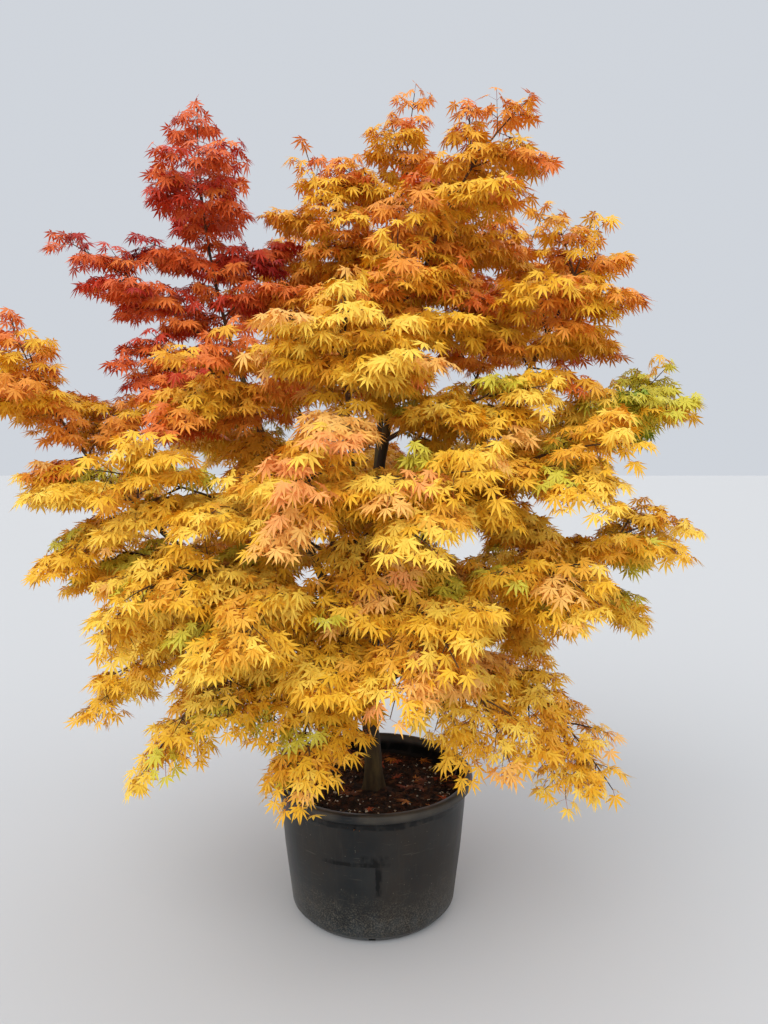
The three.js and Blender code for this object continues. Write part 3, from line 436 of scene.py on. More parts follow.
class Shader:
    """A material's node tree, with short ways to add and join nodes."""

    PATCH_EDGE = Grain(26, 5)
    PATCH_STOPS = ((0, grey(0)), (0.12, grey(1)), (0.7, grey(1)), (1, grey(0)))

    def __init__(self, name: str) -> None:
        """Starts a material that has one Principled shader.

        Args:
            name: The material's name.
        """
        self.material = bpy.data.materials.new(name)
        self.material.use_nodes = True
        self.nodes = self.material.node_tree.nodes
        self.links = self.material.node_tree.links
        self.principled = self.nodes["Principled BSDF"]

    def set(self, **values: float | tuple[float, ...]) -> "Shader":
        """Sets the shader's own sockets, named with _ for a space."""
        for name, value in values.items():
            self.principled.inputs[name.replace("_", " ")].default_value = value
        return self

    def add(self, kind: str, **values: object) -> bpy.types.Node:
        """Adds a node and sets its attributes."""
        node = self.nodes.new(kind)
        for name, value in values.items():
            setattr(node, name, value)
        return node

    def join(self, output: Socket, socket: Socket) -> None:
        """Joins an output to an input."""
        self.links.new(output, socket)

    def noise(self, grain: Grain) -> Socket:
        """The value of noise over the object's own coordinates."""
        place = self.add("ShaderNodeTexCoord")
        mapping = self.add("ShaderNodeMapping")
        mapping.inputs["Scale"].default_value = grain.stretch
        self.join(place.outputs["Object"], mapping.inputs["Vector"])
        texture = self.add("ShaderNodeTexNoise")
        texture.inputs["Scale"].default_value = grain.scale
        texture.inputs["Detail"].default_value = grain.detail
        self.join(mapping.outputs["Vector"], texture.inputs["Vector"])
        return texture.outputs["Fac"]

    def ramp(self, value: Socket, stops: Sequence[tuple[float, Colour]]) -> Socket:
        """A colour that follows a value.

        Args:
            value: What the colour follows.
            stops: Places from 0 to 1 and the screen colour at each.

        Returns:
            The colour.
        """
        node = self.add("ShaderNodeValToRGB")
        elements = node.color_ramp.elements
        while len(elements) < len(stops):
            elements.new(0.5)
        for element, (place, colour) in zip(elements, stops):
            element.position = place
            element.color = linear(colour)
        self.join(value, node.inputs["Fac"])
        return node.outputs["Color"]

    def share(self, blotches: Blotches) -> Socket:
        """The share that blotches have at each point."""
        stops = ((blotches.low, grey(blotches.least)), (blotches.high, grey(blotches.most)))
        return self.ramp(self.noise(blotches.grain), stops)

    def patch(self, patch: Patch) -> Socket:
        """1 in a patch and 0 outside it."""
        place = self.add("ShaderNodeTexCoord")
        split = self.add("ShaderNodeSeparateXYZ")
        self.join(place.outputs["Object"], split.inputs["Vector"])
        share = None
        for axis, (low, high) in patch.spans:
            span = self.add("ShaderNodeMapRange", clamp=False)
            span.inputs["From Min"].default_value = low
            span.inputs["From Max"].default_value = high
            self.join(split.outputs[axis], span.inputs["Value"])
            edge = self.noise(self.PATCH_EDGE)
            ragged = self.worked("MULTIPLY_ADD", edge, patch.raggedness, -patch.raggedness / 2)
            shifted = self.worked("ADD", span.outputs["Result"], ragged)
            inside = self.ramp(shifted, self.PATCH_STOPS)
            share = inside if share is None else self.both(share, inside)
        return share

    def worked(self, operation: str, *values: Socket | float) -> Socket:
        """The result of a sum on outputs or plain numbers."""
        node = self.add("ShaderNodeMath", operation=operation)
        for socket, value in zip(node.inputs, values):
            if isinstance(value, float):
                socket.default_value = value
            else:
                self.join(value, socket)
        return node.outputs["Value"]

    def both(self, first: Socket, second: Socket) -> Socket:
        """The share that two shares have together."""
        return self.worked("MULTIPLY", first, second)

    def plain(self, colour: Colour) -> Socket:
        """One colour as an output."""
        node = self.add("ShaderNodeRGB")
        node.outputs["Color"].default_value = linear(colour)
        return node.outputs["Color"]

    def mixed(self, share: Socket, first: Socket, second: Socket) -> Socket:
        """One colour that goes over into another by a share."""
        node = self.add("ShaderNodeMix", data_type="RGBA")
        self.join(share, node.inputs["Factor"])
        self.join(first, node.inputs["A"])
        self.join(second, node.inputs["B"])
        return node.outputs["Result"]

    def coloured(self, colour: Socket) -> "Shader":
        """Joins a colour to the shader."""
        self.join(colour, self.principled.inputs["Base Color"])
        return self

    def bumped(self, height: Socket, depth: float, strength: float) -> "Shader":
        """Joins a relief to the shader, with its depth in metres."""
        bump = self.add("ShaderNodeBump")
        bump.inputs["Strength"].default_value = strength
        bump.inputs["Distance"].default_value = depth
        self.join(height, bump.inputs["Height"])
        self.join(bump.outputs["Normal"], self.principled.inputs["Normal"])
        return self


@dataclass(frozen=True)
class PlainFinish:
    """One plain base colour: a leaf tint or the studio floor."""

    name: str
    colour: Colour
    roughness: float
    specular: float

    def material(self) -> bpy.types.Material:
        """The finish as a material."""
        shader = Shader(self.name)
        shader.set(Base_Color=linear(self.colour), Roughness=self.roughness,
                   Specular_IOR_Level=self.specular)
        return shader.material


@dataclass(frozen=True)
class BarkFinish:
    """Smooth young bark: olive brown, with paler streaks and dark flecks."""

    name: str = "bark"
    dark: Colour = (0.12, 0.09, 0.045)
    main: Colour = (0.25, 0.19, 0.08)
    pale: Colour = (0.37, 0.305, 0.155)
    streaks: Grain = Grain(34, 4, (1, 1, 0.22))
    streak_stops: tuple[float, float, float] = (0.32, 0.5, 0.68)
    flecks: Grain = Grain(150, 2, (1, 1, 0.5))
    fleck_stops: Span = (0.36, 0.5)
    flecked: Blotches = Blotches(Grain(60, 2), 0.45, 0.7, 0.6, 0.1)
    relief_depth: float = 0.0015
    relief_strength: float = 0.6
    roughness: float = 0.8

    def material(self) -> bpy.types.Material:
        """The finish as a material."""
        shader = Shader(self.name)
        streaks = shader.noise(self.streaks)
        flecks = shader.noise(self.flecks)
        base = shader.ramp(streaks, tuple(zip(self.streak_stops, (self.dark, self.main, self.pale))))
        shade = shader.ramp(flecks, tuple(zip(self.fleck_stops, (self.dark, self.main))))
        shader.coloured(shader.mixed(shader.share(self.flecked), base, shade)).set(Roughness=self.roughness)
        shader.bumped(flecks, self.relief_depth, self.relief_strength)
        return shader.material


@dataclass(frozen=True)
class MottledFinish:
    """Two tones in soft patches: young twigs with a red cast, leaf stalks and dry leaves."""

    name: str = "twig_bark"
    dark: Colour = (0.20, 0.13, 0.09)
    pale: Colour = (0.40, 0.29, 0.16)
    scale: float = 12
    detail: float = 3
    stops: Span = (0.38, 0.62)
    roughness: float = 0.7

    def material(self) -> bpy.types.Material:
        """The finish as a material."""
        shader = Shader(self.name)
        noise = shader.noise(Grain(self.scale, self.detail))
        tone = shader.ramp(noise, tuple(zip(self.stops, (self.dark, self.pale))))
        shader.coloured(tone).set(Roughness=self.roughness)
        return shader.material


@dataclass(frozen=True)
class PotFinish:
    """Near-black moulded plastic: dust that thickens downwards, scuffs, dark staining that has run, a band
    of painted shade under the lip, and lighter dust on the lip that also paints a highlight.
    """

    name: str = "pot_plastic"
    black: Colour = (0.095, 0.108, 0.116)
    worn: Colour = (0.155, 0.160, 0.158)
    brown: Colour = (0.21, 0.175, 0.14)
    dust: Colour = (0.42, 0.39, 0.34)
    haze: Colour = (0.30, 0.345, 0.365)
    # Near-black for the dark stains and for the band of painted shade under the lip.
    stain_and_shade_dark: Colour = (0.015, 0.018, 0.020)
    tones: Grain = Grain(7, 5)
    tone_stops: Span = (0.35, 0.65)
    film: Blotches = Blotches(Grain(5, 9, (1, 1, 0.5)), 0.42, 0.72, 0.85)
    streaks: Blotches = Blotches(Grain(90, 4, (1, 1, 0.05)), 0.58, 0.74, 0.3)
    grit: Blotches = Blotches(Grain(230, 6), 0.44, 0.70, 0.85)
    grit_patch: Patch = Patch((-0.16, 0.17), 0.5)
    foot: Blotches = Blotches(Grain(34, 9, (1, 1, 0.7)), 0.36, 0.64, 0.5)
    foot_patch: Patch = Patch((-0.12, 0.10), 0.9)
    specks: Blotches = Blotches(Grain(140, 2), 0.72, 0.76, 0.85)
    scuffs: Blotches = Blotches(Grain(55, 4, (0.25, 0.25, 3.0)), 0.63, 0.72, 0.5)
    # Lighter dust on the lip's face: partly dust, partly a painted highlight along the top of the lip.
    lip_dust_and_highlight: Patch = Patch((0.403, 0.50), 0.1)
    # Noise that breaks up both the dark stains and the band of painted shade under the lip.
    runs: Blotches = Blotches(Grain(48, 6, (1, 1, 0.4)), 0.36, 0.50, 1, 0.3)
    # Three dark stains that have run, then a ring of painted shade under the lip.
    stains_and_lip_shade: tuple[Patch, ...] = (Patch((0.257, 0.272), 0.6, (-0.15, 0.075), (-0.5, 0)),
                                 Patch((0.264, 0.296), 0.6, (-0.04, 0.05), (-0.5, 0)),
                                 Patch((0.16, 0.28), 0.6, (0.008, 0.032), (-0.5, 0)),
                                 # Painted shade where the lip's overhang shades the wall, not a stain.
                                 Patch((0.372, 0.404), 0.6))
    relief: Grain = Grain(60, 5, (1, 1, 0.3))
    relief_depth: float = 0.0008
    relief_strength: float = 0.4
    roughness: Span = (0.60, 0.80)
    specular: float = 0.22

    def material(self) -> bpy.types.Material:
        """The finish as a material."""
        shader = Shader(self.name)
        tone = shader.ramp(shader.noise(self.tones), tuple(zip(self.tone_stops, (self.black, self.worn))))
        brown, dust = shader.plain(self.brown), shader.plain(self.dust)
        film = shader.share(self.film)
        tone = shader.mixed(film, tone, brown)
        tone = shader.mixed(shader.share(self.streaks), tone, dust)
        grit = shader.both(shader.share(self.grit), shader.patch(self.grit_patch))
        tone = shader.mixed(grit, tone, dust)
        foot = shader.both(shader.patch(self.foot_patch), shader.share(self.foot))
        tone = shader.mixed(foot, tone, shader.plain(self.haze))
        for blotches in (self.specks, self.scuffs):
            tone = shader.mixed(shader.share(blotches), tone, dust)
        # Dust on the lip's face, which also paints a highlight along the top of the lip.
        tone = shader.mixed(shader.both(shader.patch(self.lip_dust_and_highlight), film), tone, dust)
        # Near-black in the stains and in the band of painted shade under the lip.
        stain_and_shade_dark = shader.plain(self.stain_and_shade_dark)
        runs = shader.share(self.runs)
        for dark_patch in self.stains_and_lip_shade:
            tone = shader.mixed(shader.both(shader.patch(dark_patch), runs), tone, stain_and_shade_dark)
        shader.coloured(tone).set(Specular_IOR_Level=self.specular)
        shine = shader.ramp(film, tuple(zip((0, 1), map(grey, self.roughness))))
        shader.join(shine, shader.principled.inputs["Roughness"])
        shader.bumped(shader.noise(self.relief), self.relief_depth, self.relief_strength)
        return shader.material


@dataclass(frozen=True)
class MixFinish:
    """Moist bark mix: dark brown with redder pieces."""

    name: str = "potting_mix"
    dark: Colour = (0.10, 0.065, 0.045)
    main: Colour = (0.20, 0.125, 0.08)
    red: Colour = (0.34, 0.19, 0.11)
    grain: Grain = Grain(45, 3)
    stops: tuple[float, float, float] = (0.36, 0.52, 0.68)
    relief: Grain = Grain(220, 4)
    relief_depth: float = 0.002
    relief_strength: float = 0.8
    roughness: float = 0.9

    def material(self) -> bpy.types.Material:
        """The finish as a material."""
        shader = Shader(self.name)
        tones = tuple(zip(self.stops, (self.dark, self.main, self.red)))
        tone = shader.ramp(shader.noise(self.grain), tones)
        shader.coloured(tone).set(Roughness=self.roughness)
        shader.bumped(shader.noise(self.relief), self.relief_depth, self.relief_strength)
        return shader.material


class MeshPile:
    """Small shapes collected as arrays and joined into one piece."""

    STEEP = 0.8

    def __init__(self) -> None:
        """Starts an empty pile."""
        self.points: list[Array] = []
        self.faces: list[Array] = []
        self.count = 0

    def add(self, points: Array, faces: Array) -> None:
        """Adds shapes.

        Args:
            points: Corners, n by 3.
            faces: Faces of one kind, as rows of numbers into those corners.
        """
        self.points.append(points)
        self.faces.append(faces + self.count)
        self.count += len(points)

    def add_copies(self, points: Array, faces: Array) -> None:
        """Adds copies of one shape.

        Args:
            points: Corners of each copy, copies by corners by 3.
            faces: The faces of one copy.
        """
        copies, corners = points.shape[:2]
        if copies:
            starts = np.arange(copies)[:, None, None] * corners
            self.add(points.reshape(-1, 3), (faces[None] + starts).reshape(-1, faces.shape[1]))

    def add_tubes(self, paths: Array, radii: Array, sides: int) -> None:
        """Adds tapering tubes with closed far ends.

        Args:
            paths: Middles of the rings, tubes by rings by 3.
            radii: The rings' radii, tubes by rings.
            sides: How many sides each tube has.
        """
        along = unit(np.gradient(paths, axis=1))
        aside = np.where(np.abs(along[:, :1, 2:]) > self.STEEP, np.array([1.0, 0, 0]), UP)
        across = unit(np.cross(along, np.broadcast_to(aside, along.shape)))
        over = np.cross(across, along)
        turns = np.arange(sides) * 2 * math.pi / sides
        around = across[:, :, None] * np.cos(turns)[:, None] + over[:, :, None] * np.sin(turns)[:, None]
        rings = paths[:, :, None] + around * radii[:, :, None, None]
        self.add_rings(rings)

    def add_rings(self, rings: Array, capped: bool = True) -> None:
        """Adds tubes that are given by the corners of their rings.

        Args:
            rings: Tubes by rings by sides by 3.
            capped: Whether the far end is closed.
        """
        tubes, count, sides = rings.shape[:3]
        ring, side = np.meshgrid(np.arange(count - 1), np.arange(sides), indexing="ij")
        here, there = ring * sides + side, ring * sides + (side + 1) % sides
        walls = np.stack([here, here + sides, there + sides, there], axis=-1).reshape(-1, 4)
        corners = rings.reshape(tubes, -1, 3)
        self.add_copies(corners, walls)
        if capped:
            self.faces.append((np.arange(tubes)[:, None] * count * sides + (count - 1) * sides
                               + np.arange(sides)[::-1][None]) + self.count - tubes * count * sides)

    @property
    def triangles(self) -> int:
        """How many triangles the pile comes to."""
        return sum(len(faces) * (faces.shape[1] - 2) for faces in self.faces)

    def build(self, name: str, material: bpy.types.Material, smooth: bool = False) -> bpy.types.Object:
        """Joins the pile into one object that rides on the part.

        Args:
            name: The piece's name.
            material: Its material.
            smooth: Whether it is shaded smooth.

        Returns:
            The object.
        """
        points = np.concatenate(self.points).astype(np.float32)
        sizes = np.concatenate([np.full(len(faces), faces.shape[1]) for faces in self.faces])
        corners = np.concatenate([faces.reshape(-1) for faces in self.faces]).astype(np.int32)
        mesh = bpy.data.meshes.new(name)
        mesh.vertices.add(len(points))
        mesh.vertices.foreach_set("co", points.reshape(-1))
        mesh.loops.add(len(corners))
        mesh.loops.foreach_set("vertex_index", corners)
        mesh.polygons.add(len(sizes))
        mesh.polygons.foreach_set("loop_start", (np.cumsum(sizes) - sizes).astype(np.int32))
        mesh.polygons.foreach_set("use_smooth", np.full(len(sizes), smooth))
        mesh.update(calc_edges=True)
        mesh.validate()
        mesh.materials.append(material)
        piece = bpy.data.objects.new(name, mesh)
        bpy.context.scene.collection.objects.link(piece)
        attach(piece, BODY)
        log.info("%s: %d triangles", name, self.triangles)
        return piece


@dataclass
class LimbForm:
    """A trunk or limb as a curve and a radius along it."""

    curve: Bend
    foot: float
    tip: float
    heading: float

    def wall(self, share: float | Array) -> float | Array:
        """The radius at shares of the length."""
        return lerp(self.foot, self.tip, share)


def branch_curve(branch: Limb | Mass, parent: LimbForm) -> Bend:
    """The curve of a limb or of a mass's stem, worked out as in the source.

    Args:
        branch: What is grown.
        parent: What it leaves.

    Returns:
        The curve.
    """
    start = parent.curve.point(branch.at)
    end = polar(branch.heading, branch.reach, branch.height)
    middle = (start + end) / 2
    if branch.at == 1 and branch.parent != "trunk":
        middle = start + parent.curve.tangent(1) * np.linalg.norm(end - start) / 2
    return Bend(start, middle + UP * branch.rise - polar(branch.heading, branch.hug, 0), end)


def across_of(direction: Array, instead: Array) -> Array:
    """The level direction across a twig, or one near the given one where the twig stands nearly upright."""
    across = np.cross(direction, UP)
    if np.linalg.norm(across) < UPRIGHT_SINE:
        across = instead - direction * instead.dot(direction)
    return unit(across)


def leaning(along: Array, aside: Array, lean: float, tilt: float = 0.0) -> Array:
    """A direction that leans from a twig's own to one side.

    Args:
        along: The twig's unit direction.
        aside: The unit direction across it.
        lean: How far the direction leans, in degrees.
        tilt: How far the side is turned about the twig, in degrees.

    Returns:
        The unit direction.
    """
    outward = turned_about(aside, along, math.radians(tilt))
    return along * math.cos(math.radians(lean)) + outward * math.sin(math.radians(lean))


def path_at(path: Array, share: float) -> tuple[Array, Array]:
    """The point and the direction at a share of a path."""
    place = share * (len(path) - 1)
    before = min(int(place), len(path) - 2)
    step = path[before + 1] - path[before]
    return path[before] + step * (place - before), unit(step)


def in_pot(points: Array, margin: float = 0.0) -> bool | Array:
    """Whether points are in the pot or its mix, or closer to it than a margin."""
    return ((points[..., 2] < POT_TOP + margin)
            & (np.hypot(points[..., 0], points[..., 1]) < POT_REACH + margin))


@dataclass
class Space:
    """The room that one mass keeps to: an ellipsoid along the leafy part of its stem."""

    leafy_from: float
    centre: Array
    axes: Array
    halves: Array

    OVERRUN: ClassVar[float] = 1.08
    MIN_BARE_SHARE: ClassVar[float] = 0.08

    @classmethod
    def of(cls, mass: Mass, curve: Bend) -> "Space":
        """The space of a mass, worked out as in the source."""
        leafy_from = max(cls.MIN_BARE_SHARE, 1 - mass.long / curve.length)
        start, tip = curve.point(leafy_from), curve.point(1)
        along = unit(tip - start)
        across = across_of(along, polar(mass.heading + 90, 1, 0))
        halves = np.array([np.linalg.norm(tip - start) / 2 * cls.OVERRUN, mass.wide / 2, mass.deep / 2])
        axes = np.array([along, across, np.cross(across, along)])
        return cls(leafy_from, (start + tip) / 2, axes, halves)

    def depth(self, points: Array) -> Array:
        """How deep points lie: 0 at the centre, 1 at the skin."""
        return np.linalg.norm((points - self.centre) @ self.axes.T / self.halves, axis=-1)

    def to_skin(self, point: Array, direction: Array) -> float:
        """The distance from a point to the skin in a direction."""
        start = self.axes @ (point - self.centre) / self.halves
        step = self.axes @ direction / self.halves
        a, b, c = step @ step, start @ step, start @ start - 1
        inside = b * b - a * c
        return (-b + math.sqrt(inside)) / a if inside > 0 else 0.0


@dataclass(frozen=True)
class LeafShape:
    """The outline of a leaf of seven deep lobes, in shares of its middle lobe."""

    turns: tuple[float, ...] = (-106, -68, -33, 0, 33, 68, 106)
    lengths: tuple[float, ...] = (0.46, 0.78, 0.95, 1, 0.95, 0.78, 0.46)
    waist: float = 0.42
    half_width: float = 0.100
    least_width: float = 0.55
    more_width: float = 0.45
    fold: float = 0.035
    droop: float = 0.26
    droop_scatter: float = 0.6
    length_scatter: float = 0.18
    turn_scatter: float = 7

    def corners(self, dice: Dice) -> Array:
        """The corners of one leaf, with its stalk's end at zero, its tip along +X and its face up.

        Args:
            dice: Where the lobes' scatter comes from.

        Returns:
            The corners: the middle, then each lobe's two sides and tip.
        """
        points = [np.zeros(3)]
        for turn, length in zip(self.turns, self.lengths):
            turn += dice.about(self.turn_scatter)
            length *= 1 + dice.about(self.length_scatter)
            aside = polar(turn + 90, self.half_width * (self.least_width + self.more_width * length), 0)
            middle = polar(turn, length * self.waist, -self.fold)
            points += [middle - aside, middle + aside, polar(turn, length, 0)]
        corners = np.array(points)
        reach = np.linalg.norm(corners[:, :2], axis=1)
        corners[:, 2] -= self.droop * reach ** 2 * (1 + dice.about(self.droop_scatter))
        return corners

    def faces(self) -> Array:
        """The triangles of one leaf: two to a lobe, which meet in its midrib."""
        lows = 1 + 3 * np.arange(len(self.turns))
        middles = np.zeros_like(lows)
        return np.concatenate([np.stack([middles, lows, lows + 2], axis=1),
                               np.stack([middles, lows + 2, lows + 1], axis=1)])


@dataclass
class Leaf:
    """One leaf: the twig's point it hangs from, its stalk's far end, its lie, size, kind, tint and mass."""

    node: Array
    base: Array
    along: Array
    face: Array
    size: float
    kind: int
    tint: Tint
    mass: str


@dataclass
class Arc:
    """One twig: its path, the radii at its two ends and its number of sides."""

    path: Array
    foot: float
    tip: float
    sides: int


@dataclass(frozen=True)
class Gauge:
    """The form of one order of twigs: its end radii, its points and sides, and how it droops."""

    foot: float
    tip: float
    points: int
    sides: int
    droop: float
    level_droop: float

    def arc(self, base: Array, direction: Array, length: float, roll: float) -> Arc:
        """A twig of this form.

        Args:
            base: Where it starts.
            direction: Where it sets out to.
            length: Its length.
            roll: A number from 0 to 1, for how much more it droops the more level it sets out.

        Returns:
            The twig, whose tip drops by a share of its length.
        """
        droop = self.droop + self.level_droop * math.hypot(direction[0], direction[1]) * roll
        shares = np.linspace(0, 1, self.points)[:, None]
        path = base + direction * shares * length - UP * droop * length * shares ** 2
        return Arc(path, self.foot, self.tip, self.sides)


@dataclass(frozen=True)
class Spacing:
    """How things are set along a twig: the bare length at its end, the step, and the range it varies in."""

    bare_end: float
    step: float
    low: float = 0.85
    high: float = 1.15

    def places(self, first: float, length: float, dice: Dice, openness: float = 1) -> Iterator[float]:
        """Distances from the foot, each drawn when the one before has been used.

        Args:
            first: The first one.
            length: The twig's length.
            dice: Where the steps' scatter comes from.
            openness: How many times longer than usual the steps are.

        Yields:
            Each distance.
        """
        place = first
        while place < length - self.bare_end:
            yield place
            place += self.step * openness * dice.between(self.low, self.high)


@dataclass
class Growth:
    """The stem, twigs and leaves of one mass, grown by the source's seeded rule and then two orders finer.

    Lengths are in metres and angles in degrees. Two numbers are the ends of a range.
    """

    mass: Mass
    number: int
    parent: LimbForm

    source_seed: int = 101
    fine_seed: int = 7001
    fine_seed_step: int = 13

    stem_points: int = 13
    stem_sides: int = 6
    stem_tip: float = 0.0013
    stem_foot_most: float = 0.008
    stem_foot_share: float = 0.62
    stem_end_foot_share: float = 0.9
    stem_end_share: float = 0.78

    pairs: int = 3
    upright_pairs: int = 4
    upright_turn: float = 60
    first_pair: float = 0.3
    pair_turn_scatter: float = 24
    pair_spread: Span = (66, 44)
    pair_spread_scatter: float = 14
    pair_fullness: Span = (0.8, 1)
    pair_skin_gap: float = 0.02

    twig: Gauge = Gauge(0.0030, 0.0011, 9, 4, 0.10, 0.20)
    twig_shortest: float = 0.05
    twig_search_step: float = 0.02
    twig_search_from: float = 0.03

    spray: Gauge = Gauge(0.0013, 0.0007, 4, 3, 0.12, 0.20)
    spray_shortest: float = 0.02
    spray_spacing: Spacing = Spacing(0.03, 0.0395)
    spray_first: float = 0.055
    spray_lean: Span = (42, 64)
    spray_tilt: float = 10
    spray_tilt_scatter: float = 16
    spray_reach: Span = (0.52, 0.24)
    spray_reach_range: Span = (0.75, 1.15)
    spray_reach_least: float = 0.04
    skin_overrun: float = 0.01
    outside_depth: float = 0.72
    same_tint_share: float = 0.5

    fork_from: float = 0.075
    fork_place: float = 0.42
    fork_lean: Span = (38, 56)
    fork_reach: Span = (0.36, 0.56)

    stem_spray_spacing: Spacing = Spacing(0.03, 0.06)
    stem_spray_first: float = 0.04
    stem_spray_lean: Span = (38, 64)
    stem_spray_tilt_scatter: float = 20
    stem_spray_reach: Span = (0.15, 0.06)
    stem_spray_reach_range: Span = (0.7, 1.2)
    stem_tip_from: float = 0.9
    stem_tip_points: int = 4

    leaf_spacing: Spacing = Spacing(0.012, 0.0225, 0.85, 1.2)
    leaf_first: float = 0.018
    leaf_lean: float = 55
    leaf_lean_scatter: float = 24
    leaf_tilt_scatter: float = 70
    end_leans: tuple[float, ...] = (-58, 0, 58)

    stalk_length: Span = (0.014, 0.032)
    stalk_lift: float = 0.15
    least_level: float = 0.2
    leaf_heading_scatter: float = 40
    leaf_pitch: Span = (10, 64)
    leaf_roll_scatter: float = 60
    leaf_size: Span = (0.034, 0.047)

    def __post_init__(self) -> None:
        """Works out the stem's curve and the mass's space, and starts both runs of dice."""
        self.curve = branch_curve(self.mass, self.parent)
        self.space = Space.of(self.mass, self.curve)
        self.end = lerp(self.space.leafy_from, 1, self.stem_end_share)
        self.openness = self.mass.palette.openness
        self.source_dice = Dice(self.source_seed + self.number)
        self.dice = Dice(self.fine_seed + self.fine_seed_step * self.number)
        self.arcs: list[Arc] = []
        self.leaves: list[Leaf] = []

    def across(self, direction: Array) -> Array:
        """The direction across a twig of this mass."""
        return across_of(direction, self.space.axes[1])

    def grow(self) -> None:
        """Grows the stem, its pairs of side twigs and the sprays along it."""
        share = self.stem_end_foot_share if self.mass.at == 1 else self.stem_foot_share
        foot = min(self.stem_foot_most, self.parent.wall(self.mass.at) * share)
        path = self.curve.point(np.linspace(0, 1, self.stem_points))
        self.arcs.append(Arc(path, foot, self.stem_tip, self.stem_sides))
        pairs = self.pairs if self.mass.turn < self.upright_turn else self.upright_pairs
        for pair in range(pairs):
            self.grow_pair(pair, pairs)
        self.grow_stem_sprays()

    def grow_pair(self, pair: int, pairs: int) -> None:
        """Grows a pair of side twigs where the source has them.

        Args:
            pair: Its number, from the stem's foot.
            pairs: How many pairs the stem has.
        """
        share = lerp(self.space.leafy_from, self.end, (pair + self.first_pair) / pairs)
        base, tangent = self.curve.point(share), self.curve.tangent(share)
        across = self.across(tangent)
        turn = self.mass.turn * (pair - (pairs - 1) / 2) + self.source_dice.about(self.pair_turn_scatter)
        for side in (1, -1):
            spread = lerp(*self.pair_spread, pair / (pairs - 1))
            spread += self.source_dice.about(self.pair_spread_scatter)
            fullness = self.source_dice.between(*self.pair_fullness)
            self.source_dice.roll()  # The source draws once more here, and the runs have to stay in step.
            direction = leaning(tangent, across * side, spread, turn)
            length = (self.space.to_skin(base, direction) - self.pair_skin_gap) * fullness
            tint = self.mass.palette.dealt(True, self.dice.roll())
            self.grow_twig(base, direction, length, tint)

    def grow_twig(self, base: Array, direction: Array, length: float, tint: Tint) -> None:
        """Grows a side twig in an arc, with its pairs of sprays.

        Args:
            base: Where it leaves the stem.
            direction: Where it sets out to.
            length: How far it reaches.
            tint: The tint of most of its leaves.
        """
        length = self.free_length(base, direction, length)
        if length < self.twig_shortest:
            return
        twig = self.twig.arc(base, direction, length, self.dice.roll())
        self.arcs.append(twig)
        across = self.across(direction)
        places = self.spray_spacing.places(self.spray_first, length, self.dice, self.openness)
        for turn, place in enumerate(places):
            share = place / length
            point, tangent = path_at(twig.path, share)
            for side in (1, -1):
                lean = self.dice.between(*self.spray_lean)
                tilt = self.dice.about(self.spray_tilt_scatter) + self.spray_tilt * (1 if turn % 2 else -1)
                reach = lerp(*self.spray_reach, share) * length * self.dice.between(*self.spray_reach_range)
                heading = leaning(tangent, across * side, lean, tilt)
                self.grow_side(point, heading, max(reach, self.spray_reach_least), tint)
        self.end_leaves(twig.path, tint)

    def grow_stem_sprays(self) -> None:
        """Grows sprays all along the stem's leafy part and leaves round its tip."""
        length = self.curve.length
        first = lerp(self.space.leafy_from, self.end, self.stem_spray_first) * length
        tint = self.mass.palette.dealt(True, self.dice.roll())
        for turn, place in enumerate(self.stem_spray_spacing.places(first, length, self.dice)):
            share = place / length
            point, tangent = self.curve.point(share), self.curve.tangent(share)
            across = self.across(tangent)
            for side in (1, -1):
                lean = self.dice.between(*self.stem_spray_lean)
                tilt = self.mass.turn * (turn % 3 - 1) + self.dice.about(self.stem_spray_tilt_scatter)
                reach = lerp(*self.stem_spray_reach, share)
                reach *= self.dice.between(*self.stem_spray_reach_range)
                self.grow_side(point, leaning(tangent, across * side, lean, tilt), reach, tint)
        shares = np.linspace(self.stem_tip_from, 1, self.stem_tip_points)
        self.end_leaves(self.curve.point(shares), tint)

    def grow_side(self, point: Array, heading: Array, reach: float, tint: Tint) -> None:
        """Grows a spray that stays in the mass's space, and deals its tint.

        Args:
            point: Where it leaves its twig.
            heading: Where it sets out to.
            reach: How far it would go.
            tint: Its twig's tint, which about half of the outer sprays keep.
        """
        reach = min(reach, self.space.to_skin(point, heading) + self.skin_overrun)
        outside = self.space.depth(point + heading * reach) > self.outside_depth
        if not (self.dice.roll() < self.same_tint_share and outside):
            tint = self.mass.palette.dealt(outside, self.dice.roll())
        self.grow_spray(point, heading, reach, tint)

    def grow_spray(self, base: Array, direction: Array, length: float, tint: Tint) -> None:
        """Grows one of the finest twigs, with its pairs of leaves, and forks it where it is long.

        Args:
            base: Where it leaves its twig.
            direction: Where it sets out to.
            length: How far it reaches.
            tint: The tint of its leaves.
        """
        if length < self.spray_shortest or in_pot(base + direction * length):
            return
        spray = self.spray.arc(base, direction, length, self.dice.roll())
        self.arcs.append(spray)
        for place in self.leaf_spacing.places(self.leaf_first, length, self.dice, self.openness):
            self.leaf_pair(spray.path, place / length, tint)
        self.end_leaves(spray.path, tint)
        if length > self.fork_from:
            point, tangent = path_at(spray.path, self.fork_place)
            across = self.across(tangent)
            for side in (1, -1):
                heading = leaning(tangent, across * side, self.dice.between(*self.fork_lean))
                self.grow_spray(point, heading, length * self.dice.between(*self.fork_reach), tint)

    def free_length(self, base: Array, direction: Array, planned: float) -> float:
        """The length of a twig that stays out of the pot."""
        length = self.twig_search_from
        while length < planned:
            if in_pot(base + direction * length):
                return length - self.twig_search_step
            length += self.twig_search_step
        return planned

